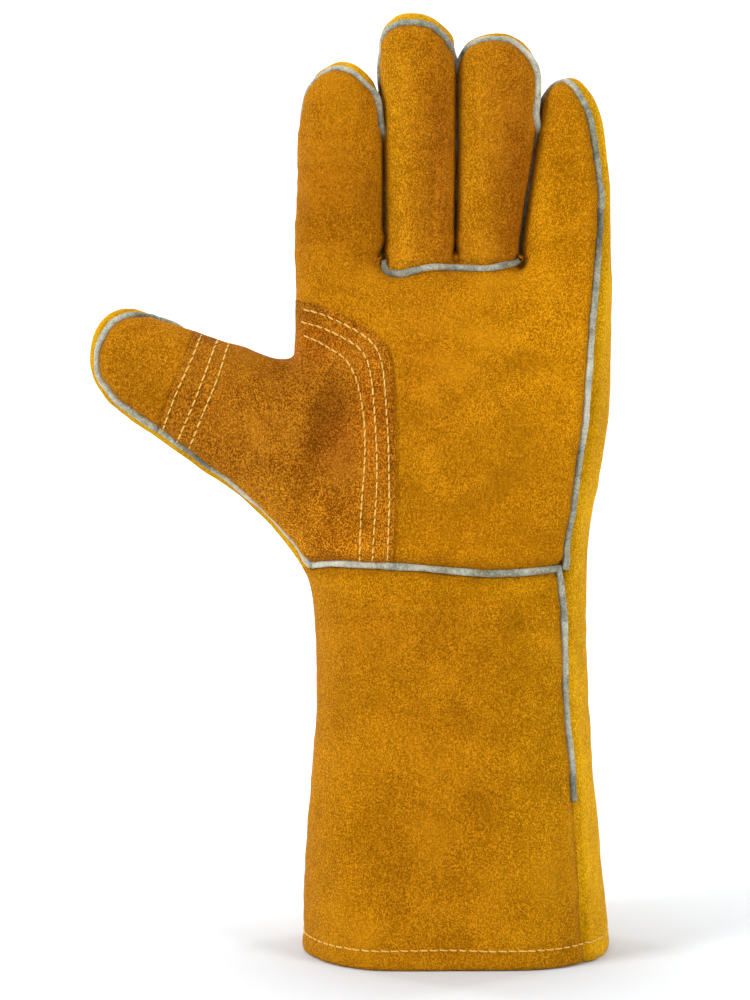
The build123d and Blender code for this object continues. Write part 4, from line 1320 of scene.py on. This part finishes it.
LABEL = {1: "front", 2: "back", 3: "patch", 4: "front"}
lift = V[:, 13]
none = np.zeros(len(V))
skin = {}
for z in sorted(ZONE_NAMES):
    zn = ZONE_NAMES[z]
    groups = {}
    for l in np.unique(lab[zone == z]):
        groups.setdefault(int(l), []).append(int(l))
    if z >= 4 and z <= 11:
        groups = {1: [1, 4], 2: [2]}
    for key, ls in groups.items():
        mask = (zone == z) & np.isin(lab, ls)
        if mask.sum() < 12:
            continue
        patch = key == 3
        digit, part = (zn.rsplit("_", 1) + [""])[:2] if z >= 4 else (zn, "")
        if z == 0 or z == 1:
            which = "front" if key == 10 else "back"
            name = f"cuff_{which}_panel" + ("" if z == 0 else "_top")
            nodes = (f"cuff_{which}_panel",) if z == 0 else ()
            mat, slot = (CUFF if key == 10 else BACK), ("cuff_leather" if key == 10 else "back_leather")
        elif z in (2, 3):
            where = "_wrist" if z == 2 else ""
            name = {1: "palm_leather", 2: "hand_back_leather", 3: "palm_patch", 4: "middle_and_ring_front_root"}[key] + where
            nodes = {1: ("palm_leather",), 2: ("hand_back_leather",), 3: ("palm_patch",), 4: ()}[key] if z == 3 else ()
            mat, slot = {1: (PALM, "palm_side_leather"), 2: (BACK, "back_leather"), 3: (PATC, "patch_leather"), 4: (FING, "palm_side_leather")}[key]
        else:
            what = {1: "front_leather", 2: "back_leather", 3: "patch"}[key]
            name = f"{digit}_{what}_{part}"
            nodes = {1: (f"{digit}_front_leather_{part}",), 2: (f"{digit}_back_leather_{part}",), 3: ()}[key]
            if digit == "thumb" and key == 3 and part == "lower":
                nodes = ("thumb_patch", "thumb_front_leather_lower")
            mat, slot = {1: (PALM if digit in ("index", "little") else FING, "palm_side_leather"), 2: (BACK, "back_leather"), 3: (PATC, "patch_leather")}[key]
        ob = shell_piece(name, V, T, mask, LEATHER, lift=lift if patch else None, under=-1.2 if patch else None)
        finish_piece(ob, mat, z, [n for n in nodes if n not in replaced])
        skin[name] = (z, key, mask)
print("leather", len(skin), round(time.time() - began, 1))

# folded-in facing of the hem
Vf, Tf, labf, zf = add_cut(V, T, lab, zone, lambda V: 16.0 - V[:, 2], {0}, 30)
m = zf == 30
V2 = Vf.copy()
V2[:, 7:10] -= V2[:, 10:13] * 1.7
V2[:, 9] = np.maximum(V2[:, 9], 0.0)
ob = shell_piece("cuff_hem_facing", V2, Tf, m, 1.5)
finish_piece(ob, CUFF, 0, ("cuff_hem_facing",))


# =====================================================================
# welts: a doubled strip of pale leather caught in the seam
# =====================================================================
def zone_at(x, z, k, hand=True):
    if not hand:
        return 0 if z < 146.0 else 1
    if k >= 0 and z > 297.0:
        return 4 + 2 * k + (1 if z > SPLITS[ORDER[k]][2] else 0)
    if thumb_t(x, z) > T_SPLIT[0] and x < -70.3:
        return 13 if thumb_t(x, z) > T_SPLIT[2] else 12
    return 2 if z < 190.0 else 3


SECTION = np.array([(-1.35, -1.2), (-1.5, 0.4), (-1.45, 1.25), (-1.05, 1.85), (-0.35, 2.05), (0.35, 2.05), (1.05, 1.85), (1.45, 1.25), (1.5, 0.4), (1.35, -1.2)])


def sweep(P, N, section, width, height, closed=False):
    """Strip along P with its height along N; width and height vary along it."""
    n, m = len(P), len(section)
    if closed:
        Tn = np.roll(P, -1, 0) - np.roll(P, 1, 0)
    else:
        Tn = np.gradient(P, axis=0)
    Tn /= np.maximum(np.linalg.norm(Tn, axis=1), 1e-9)[:, None]
    N = N - Tn * (N * Tn).sum(1)[:, None]
    N /= np.maximum(np.linalg.norm(N, axis=1), 1e-9)[:, None]
    B = np.cross(Tn, N)
    verts = P[:, None, :] + B[:, None, :] * (section[None, :, 0:1] * width[:, None, None]) + N[:, None, :] * (section[None, :, 1:2] * height[:, None, None])
    verts = verts.reshape(-1, 3)
    i = np.arange(n if closed else n - 1)
    j = np.arange(m)
    I, J = np.meshgrid(i, j, indexing="ij")
    a, b = I * m + J, I * m + (J + 1) % m
    c, d = ((I + 1) % n) * m + (J + 1) % m, ((I + 1) % n) * m + J
    faces = np.concatenate([np.stack([a, b, c], -1).reshape(-1, 3), np.stack([a, c, d], -1).reshape(-1, 3)])[:, ::-1]
    if not closed:
        caps = [[0, k + 1, k] for k in range(1, m - 1)] + [[(n - 1) * m, (n - 1) * m + k, (n - 1) * m + k + 1] for k in range(1, m - 1)]
        faces = np.concatenate([faces, np.array(caps)[:, ::-1]])
    return verts, faces


def welt_from(run, closed, gap, sink, wide, tall, seed, hand=True, over=0.0):
    """Parts of one welt, cut where the zones change: [(zone, verts, faces)]."""
    P, s = resample(run, gap)
    if closed:
        P, s = P[:-1], s[:-1]
    pos = smooth_run(P[:, 7:10], 6, closed)
    nrm = smooth_run(P[:, 3:6], 12, closed)
    nrm /= np.linalg.norm(nrm, axis=1)[:, None]
    line = np.stack([s, np.full(len(s), seed * 9.1), np.zeros(len(s))], 1)
    w = wide * (1 + 0.16 * noise(line, 9.0) + 0.08 * noise(line, 3.0))
    h = tall * (1 + 0.20 * noise(line, 7.0, 2.0) + 0.10 * noise(line, 2.6))
    near_wrist = over * np.exp(-((P[:, 2] - 168.0) / 4.0) ** 2)
    pos = pos + nrm * (sink + near_wrist + 0.18 * noise(line, 6.0, 4.0))[:, None]
    k = np.round(P[:, 6]).astype(int)
    zs = np.array([zone_at(x, z, kk, hand) for (x, z), kk in zip(P[:, [0, 2]], k)])
    out = []
    if closed and len(set(zs)) == 1:
        v, f_ = sweep(pos, nrm, SECTION, w, h, True)
        return [(int(zs[0]), v, f_)]
    if closed:
        cut = int(np.flatnonzero(zs != np.roll(zs, 1))[0])
        pos, nrm, w, h, zs = [np.roll(a, -cut, 0) for a in (pos, nrm, w, h, zs)]
        pos, nrm, w, h, zs = [np.concatenate([a, a[:1]]) for a in (pos, nrm, w, h, zs)]
        zs[-1] = zs[-2]
    start = 0
    for i in range(1, len(zs) + 1):
        if i == len(zs) or zs[i] != zs[start]:
            a, b = start, min(i + 1, len(zs))
            if b - a >= 3:
                v, f_ = sweep(pos[a:b], nrm[a:b], SECTION, w[a:b], h[a:b])
                out.append((int(zs[start]), v, f_))
            start = i
    return out


def merge(parts):
    vs, fs, n = [], [], 0
    for v, f_ in parts:
        vs.append(v)
        fs.append(f_ + n)
        n += len(v)
    return np.concatenate(vs), np.concatenate(fs)


side_edges = border_edges(T, lab, lambda a, b: (isfront(a) & (b == 2)) | (isfront(b) & (a == 2)))
cuff_edges = border_edges(T, lab, lambda a, b: ((a == 10) & (b == 11)) | ((a == 11) & (b == 10)))
base_edges = border_edges(T, lab, lambda a, b: ((a == 1) & (b == 4)) | ((a == 4) & (b == 1)))
GAP = 1.1
side_w = {}
for n_, (P, closed, length) in enumerate(runs_of(side_edges)):
    for z, v, f_ in welt_from(P, closed, GAP, 0.0, 0.98, 0.92, 20 + n_, over=1.7):
        side_w.setdefault(z, []).append((v, f_))
for z, parts in side_w.items():
    v, f_ = merge(parts)
    name = {2: "side_welts_wrist", 3: "side_welts_hand"}.get(z, f"{ZONE_NAMES[z]}_welt")
    ob = mesh_object(name, v, f_)
    nodes = {2: (), 3: ("hand_side_welt", "thumb_side_welt")}.get(z) if z in (2, 3) else (ZONE_NAMES[z].rsplit("_", 1)[0] + "_welt_" + ZONE_NAMES[z].rsplit("_", 1)[1],)
    finish_piece(ob, WELT_M, z, nodes or ())
parts = []
for n_, (P, closed, length) in enumerate(runs_of(base_edges)):
    parts += [(v, f_) for z, v, f_ in welt_from(P[P[:, 2] < 297.5], closed, GAP, 0.05, 0.92, 0.95, 40 + n_)]
v, f_ = merge(parts)
finish_piece(mesh_object("finger_base_welt", v, f_), WELT_M, 3, ("finger_base_welt",))
P, closed, length = wrist_loop()[0]
P = P[:-1] if closed else P
is_front = P[:, 1] < hand_seam_y(P[:, 0], np.full(len(P), 169.0), np.full(len(P), -1.0)) + 0.4
first = int(np.flatnonzero(is_front & ~np.roll(is_front, 1))[0])
P, is_front = np.roll(P, -first, 0), np.roll(is_front, -first)
P = P[:int(np.argmin(is_front)) if not is_front.all() else len(P)]
v, f_ = merge([(v, f_) for z, v, f_ in welt_from(P, False, GAP, 0.1, 1.0, 1.05, 50, hand=False)])
finish_piece(mesh_object("wrist_welt", v, f_), WELT_M, 1, ("wrist_welt",))
cuff_w = {}
for n_, (P, closed, length) in enumerate(runs_of(cuff_edges)):
    if P[:, 0].mean() < 0:
        continue
    P = P[P[:, 2] > 68.5]
    for z, v, f_ in welt_from(P, False, GAP, 0.0, 0.95, 0.95, 60 + n_, hand=False, over=1.7):
        cuff_w.setdefault(z, []).append((v, f_))
for z, parts in cuff_w.items():
    v, f_ = merge(parts)
    ob = mesh_object("cuff_side_welt" + ("" if z == 0 else "_top"), v, f_)
    finish_piece(ob, WELT_M, z, ("cuff_side_welt",) if z == 0 else ())
print("welts", round(time.time() - began, 1))

# =====================================================================
# stitching
# =====================================================================
RING6 = np.array([(math.cos(a), math.sin(a)) for a in np.linspace(0, 2 * math.pi, 6, endpoint=False)])


def stitch(a, b, na, nb, radius, jitter):
    """One stitch: a thread that comes up at a, lies on the leather and goes down at b."""
    u = np.array([0.0, 0.07, 0.2, 0.5, 0.8, 0.93, 1.0])
    lift_ = np.array([-0.75, 0.0, 0.62, 0.82, 0.62, 0.0, -0.75]) * radius * 1.25
    n = na[None] * (1 - u[:, None]) + nb[None] * u[:, None]
    n /= np.linalg.norm(n, axis=1)[:, None]
    side = np.cross(b - a, na)
    side /= max(np.linalg.norm(side), 1e-9)
    P = a[None] * (1 - u[:, None]) + b[None] * u[:, None] + n * lift_[:, None] + side[None] * (jitter * (u - 0.5))[:, None]
    r = radius * np.array([0.65, 0.9, 1.0, 1.04, 1.0, 0.9, 0.65])
    return sweep(P, n, RING6, r, r)


def trees():
    polys, verts, n = [], [], 0
    for name, (z, key, mask) in skin.items():
        t = T[mask]
        ids, inv = np.unique(t, return_inverse=True)
        Nn = V[ids, 10:13]
        Pp = V[ids, 7:10] + (Nn * lift[ids][:, None] if key == 3 else 0)
        polys.append(inv.reshape(t.shape) + n)
        verts.append(Pp)
        n += len(ids)
    from mathutils.bvhtree import BVHTree
    return BVHTree.FromPolygons(np.concatenate(verts).tolist(), np.concatenate(polys).tolist())


tree = trees()


def on_skin(x, z, y0=-80.0, way=(0, 1, 0)):
    p, n, _, _ = tree.ray_cast(Vector((x, y0, z)), Vector(way))
    return (np.array(p), np.array(n)) if p is not None else (None, None)


def row_of_stitches(points, pitch, radius, k=-1, hand=True, seed=1):
    """points: places and normals along a row. Returns [(zone, verts, faces)]."""
    P = np.array([p for p, n in points])
    N = np.array([n for p, n in points])
    P, N = smooth_run(P, 2), smooth_run(N, 8)
    N /= np.linalg.norm(N, axis=1)[:, None]
    A = np.concatenate([P, N], 1)
    A, s = resample(A, 0.25)
    local = np.random.default_rng(seed)
    out, at = [], 0.4
    while at + pitch * 0.8 < s[-1]:
        ln = pitch * (0.80 + 0.05 * local.standard_normal())
        a = np.array([np.interp(at, s, A[:, i]) for i in range(6)])
        b = np.array([np.interp(at + ln, s, A[:, i]) for i in range(6)])
        v, f_ = stitch(a[:3], b[:3], a[3:], b[3:], radius * (1 + 0.08 * local.standard_normal()), 0.25 + 0.12 * local.standard_normal())
        c = (a[:3] + b[:3]) / 2
        out.append((zone_at(c[0], c[2], k, hand), v, f_))
        at += pitch * (1 + 0.03 * local.standard_normal())
    return out


rows = []
for n_, line in enumerate(ROWS):
    pts = [on_skin(x, z) for x, z in dense(chaikin_open(line, 3), 1.0)]
    rows += row_of_stitches([p for p in pts if p[0] is not None and p[1][1] < -0.05], 3.9, 0.32, seed=n_ + 3)
for n_, line in enumerate(THUMB_ROWS):
    pts = [on_skin(x, z) for x, z in dense(chaikin_open(line, 3), 1.0)]
    rows += row_of_stitches([p for p in pts if p[0] is not None and p[1][1] < -0.05], 3.9, 0.32, seed=n_ + 13)
by = {}
for z, v, f_ in rows:
    by.setdefault(z, []).append((v, f_))
for z, parts in by.items():
    v, f_ = merge(parts)
    name = {3: "palm_patch_stitching", 2: "palm_patch_stitching_wrist", 12: "thumb_patch_stitching", 13: "thumb_patch_stitching_upper"}[z]
    ob = mesh_object(name, v, f_)
    nodes = {3: ("palm_patch_stitching",), 12: ("thumb_patch_stitching",)}.get(z, ())
    finish_piece(ob, THREAD_M, z, nodes)
if "thumb_patch_stitching" not in replaced:
    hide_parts("thumb_patch_stitching")
# hem row
pts = []
for a in np.linspace(0, 2 * math.pi, 260):
    cx, cy = 70 * math.cos(a), 60 * math.sin(a)
    p, n, _, _ = tree.ray_cast(Vector((cx * 1.6, cy * 1.6, 8.5)), Vector((-cx, -cy, 0)).normalized())
    if p is not None:
        pts.append((np.array(p), np.array(n)))
parts = [(v, f_) for z, v, f_ in row_of_stitches(pts, 4.1, 0.33, hand=False, seed=31)]
v, f_ = merge(parts)
finish_piece(mesh_object("cuff_hem_stitching", v, f_), THREAD_M, 0, ("cuff_hem_stitching",))
print("stitches", round(time.time() - began, 1))

# =====================================================================
# fleece lining
# =====================================================================
lv, lq, _, _ = surface_nets(lambda x, y, z: f_all(x, y, z) + LINE_IN + 0.9, (-160, -46, 6), (82, 46, 405), 2.6)
lt = tri_of(lq, lv)
lv, lk = unspread(lv)
ln_ = normals_of(lv, lt)
bumps = 0.35 * noise(lv, 6.0) + 0.25 * noise(lv, 2.9, 3.0) + 0.8 * noise(lv, 40.0, 1.0) - 1.3 * np.exp(-((lv[:, 2] - 168) / 16.0) ** 2)
lm = lv + ln_ * bumps[:, None]
LV = np.concatenate([lv, ln_, lk[:, None].astype(float), lm, normals_of(lm, lt), np.zeros((len(lv), 1)), np.full((len(lv), 2), 30.0)], 1)
LT = lt
LL = np.ones(len(LT), int)
LZ = np.where(lv[LT, 2].mean(1) < 167, 0, 3)
f0 = LV[:, 2] - 167.0
LV, LT, combo, f0 = split_labelled(LV, LT, LL * 0 + 1, f0, {1})
LL = np.ones(len(LT), int)
LZ = np.where(f0[LT].mean(1) < 0, 0, 3)
LV, LT, LL, LZ = add_cut(LV, LT, LL, LZ, lambda V: 14.5 - V[:, 2], {0}, 40)
keep = LZ != 40
LT, LL, LZ = LT[keep], LL[keep], LZ[keep]
LV, LT, LL, LZ = add_cut(LV, LT, LL, LZ, lambda V: V[:, 2] - 146.0, {0}, 1)
LV, LT, LL, LZ = add_cut(LV, LT, LL, LZ, lambda V: 190.0 - V[:, 2], {3}, 2)
LV, LT, LL, LZ = add_cut(LV, LT, LL, LZ, lambda V: np.minimum(thumb_t(V[:, 0], V[:, 2]) - T_SPLIT[0], -70.3 - V[:, 0]), {3}, 12)
LV, LT, LL, LZ = add_cut(LV, LT, LL, LZ, lambda V: thumb_t(V[:, 0], V[:, 2]) - T_SPLIT[2], {12}, 13)
LV, LT, LL, LZ = add_cut(LV, LT, LL, LZ, lambda V: V[:, 2] - 297.0, {3}, 20)
m = LZ == 20
kk = np.max(LV[LT, 6], axis=1).astype(int)
LZ[m] = 4 + 2 * kk[m]
for i, name in enumerate(ORDER):
    LV, LT, LL, LZ = add_cut(LV, LT, LL, LZ, lambda V, s=SPLITS[name][2]: V[:, 2] - s, {4 + 2 * i}, 5 + 2 * i)
for z in sorted(ZONE_NAMES):
    mask = LZ == z
    if mask.sum() < 8:
        continue
    zn = ZONE_NAMES[z]
    name = {0: "cuff_lining", 1: "cuff_lining_top", 2: "hand_lining_wrist", 3: "hand_lining"}.get(z) or zn.rsplit("_", 1)[0] + "_lining_" + zn.rsplit("_", 1)[1]
    ob = shell_piece(name, LV, LT, mask, 1.2)
    nodes = {0: ("cuff_lining",), 1: (), 2: (), 3: ("hand_lining",)}.get(z, (name,) if z >= 4 else ())
    finish_piece(ob, FLEECE_M, z, nodes)
print("lining", round(time.time() - began, 1))

# rear seam of the cuff: the taped inside of the plain seam
P = [r for r in runs_of(cuff_edges) if r[0][:, 0].mean() < 0][0][0]
P = P[P[:, 2] < 146.0]
P2, s2 = resample(P, 2.0)
pos = smooth_run(P2[:, 7:10], 4)
nn = smooth_run(P2[:, 3:6], 6)
pos = pos - nn * 1.9
sec = np.array([(-3.2, -0.5), (-3.2, 0.25), (0.0, 0.45), (3.2, 0.25), (3.2, -0.5)])
v, f_ = sweep(pos, nn, sec, np.ones(len(pos)), np.ones(len(pos)))
v[:, 2] = np.maximum(v[:, 2], 0.2)
finish_piece(mesh_object("cuff_rear_seam_tape", v, f_), CUFF, 0, ("cuff_rear_seam_tape",))
left = [n for n in frame["nodes"] if n not in replaced and n != "thumb_patch_stitching"] if isinstance(frame.get("nodes"), (dict, list)) else []
print("not replaced:", left)

# =====================================================================
# camera, light and floor
# =====================================================================
scene = bpy.context.scene
cam = bpy.data.cameras.new("camera")
cam.lens, cam.sensor_width, cam.sensor_fit = 110.61, 36.0, "AUTO"
cam.clip_end = 50.0
cam_ob = bpy.data.objects.new("camera", cam)
scene.collection.objects.link(cam_ob)
cam_ob.location = (-0.035, -1.3, 0.340)
cam_ob.rotation_euler = (Vector((-0.035, 0.0, 0.194454)) - cam_ob.location).to_track_quat("-Z", "Y").to_euler()
scene.camera = cam_ob

world = bpy.data.worlds.new("studio")
scene.world = world
world.use_nodes = True
world.node_tree.nodes["Background"].inputs[0].default_value = (1, 1, 1, 1)
world.node_tree.nodes["Background"].inputs[1].default_value = 0.22


def lamp(name, where, target, size, power, colour=(1, 1, 1)):
    d = bpy.data.lights.new(name, "AREA")
    d.shape = "RECTANGLE"
    d.size, d.size_y = size
    d.energy = power
    d.color = colour
    o = bpy.data.objects.new(name, d)
    scene.collection.objects.link(o)
    o.location = where
    o.rotation_euler = (Vector(target) - Vector(where)).to_track_quat("-Z", "Y").to_euler()
    return o


lamp("key_left", (-1.45, -0.85, 1.15), (-0.03, 0, 0.2), (0.7, 0.9), 29.0)
lamp("key_right", (1.35, -1.15, 0.90), (-0.03, 0, 0.2), (0.6, 0.9), 18.5)
lamp("front", (0.1, -2.0, 0.9), (-0.03, 0, 0.2), (0.9, 0.9), 2.0)
lamp("top", (0.0, 0.15, 1.5), (-0.03, 0, 0.2), (1.3, 0.9), 7.0)
lamp("backdrop_left", (-1.6, 1.15, 1.1), (0.1, 2.2, 0.4), (0.6, 1.2), 26.0)
lamp("backdrop_right", (1.6, 1.15, 1.1), (-0.1, 2.2, 0.4), (0.6, 1.2), 26.0)

fm, nt, b = new_material("floor_white_painted_shadow")
tc = nt.nodes.new("ShaderNodeTexCoord").outputs["Object"]
n = noise_node(nt, tc, 3.0)
sep = nt.nodes.new("ShaderNodeSeparateXYZ")
nt.links.new(tc, sep.inputs[0])
# the floor is darker and cooler at the front, paler towards the backdrop
far = mathn(nt, "DIVIDE", mathn(nt, "SUBTRACT", sep.outputs[1], 0.15), 0.9, clamp=True)
tone = mixc(nt, far, (0.83, 0.865, 0.895), (0.95, 0.95, 0.95))
# painted contact shadow: the floor darkened in a soft oval round the glove's base
ring_x = mathn(nt, "POWER", mathn(nt, "ABSOLUTE", mathn(nt, "DIVIDE", sep.outputs[0], 0.105)), 2.0)
ring_y = mathn(nt, "POWER", mathn(nt, "ABSOLUTE", mathn(nt, "DIVIDE", sep.outputs[1], 0.085)), 2.0)
around = mathn(nt, "EXPONENT", mathn(nt, "MULTIPLY", mathn(nt, "ADD", ring_x, ring_y), -1.0))
tone = mixc(nt, around, tone, (0.60, 0.625, 0.65))
nt.links.new(mixc(nt, mathn(nt, "MULTIPLY", n, 0.03), tone, (0.85, 0.85, 0.85)), b.inputs["Base Color"])
b.inputs["Roughness"].default_value = 0.9
b.inputs["Specular IOR Level"].default_value = 0.05
me = bpy.data.meshes.new("floor")
rows_ = [(-3.0, 0.0), (1.4, 0.0)] + [(1.4 + 0.8 * math.sin(a), 0.8 - 0.8 * math.cos(a)) for a in np.linspace(0.15, math.pi / 2, 10)] + [(2.2, 3.5)]
fv = [(sx, y, z - 0.0002) for y, z in rows_ for sx in (-4.0, 4.0)]
me.from_pydata(fv, [], [(2 * i, 2 * i + 1, 2 * i + 3, 2 * i + 2) for i in range(len(rows_) - 1)])
me.update()
floor = bpy.data.objects.new("floor", me)
scene.collection.objects.link(floor)
floor.data.materials.append(fm)
for p in me.polygons:
    p.use_smooth = True
scene.view_settings.view_transform = "Standard"
scene.view_settings.look = "None"
scene.view_settings.exposure = 0.0

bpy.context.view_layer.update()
print("total", round(time.time() - began, 1))
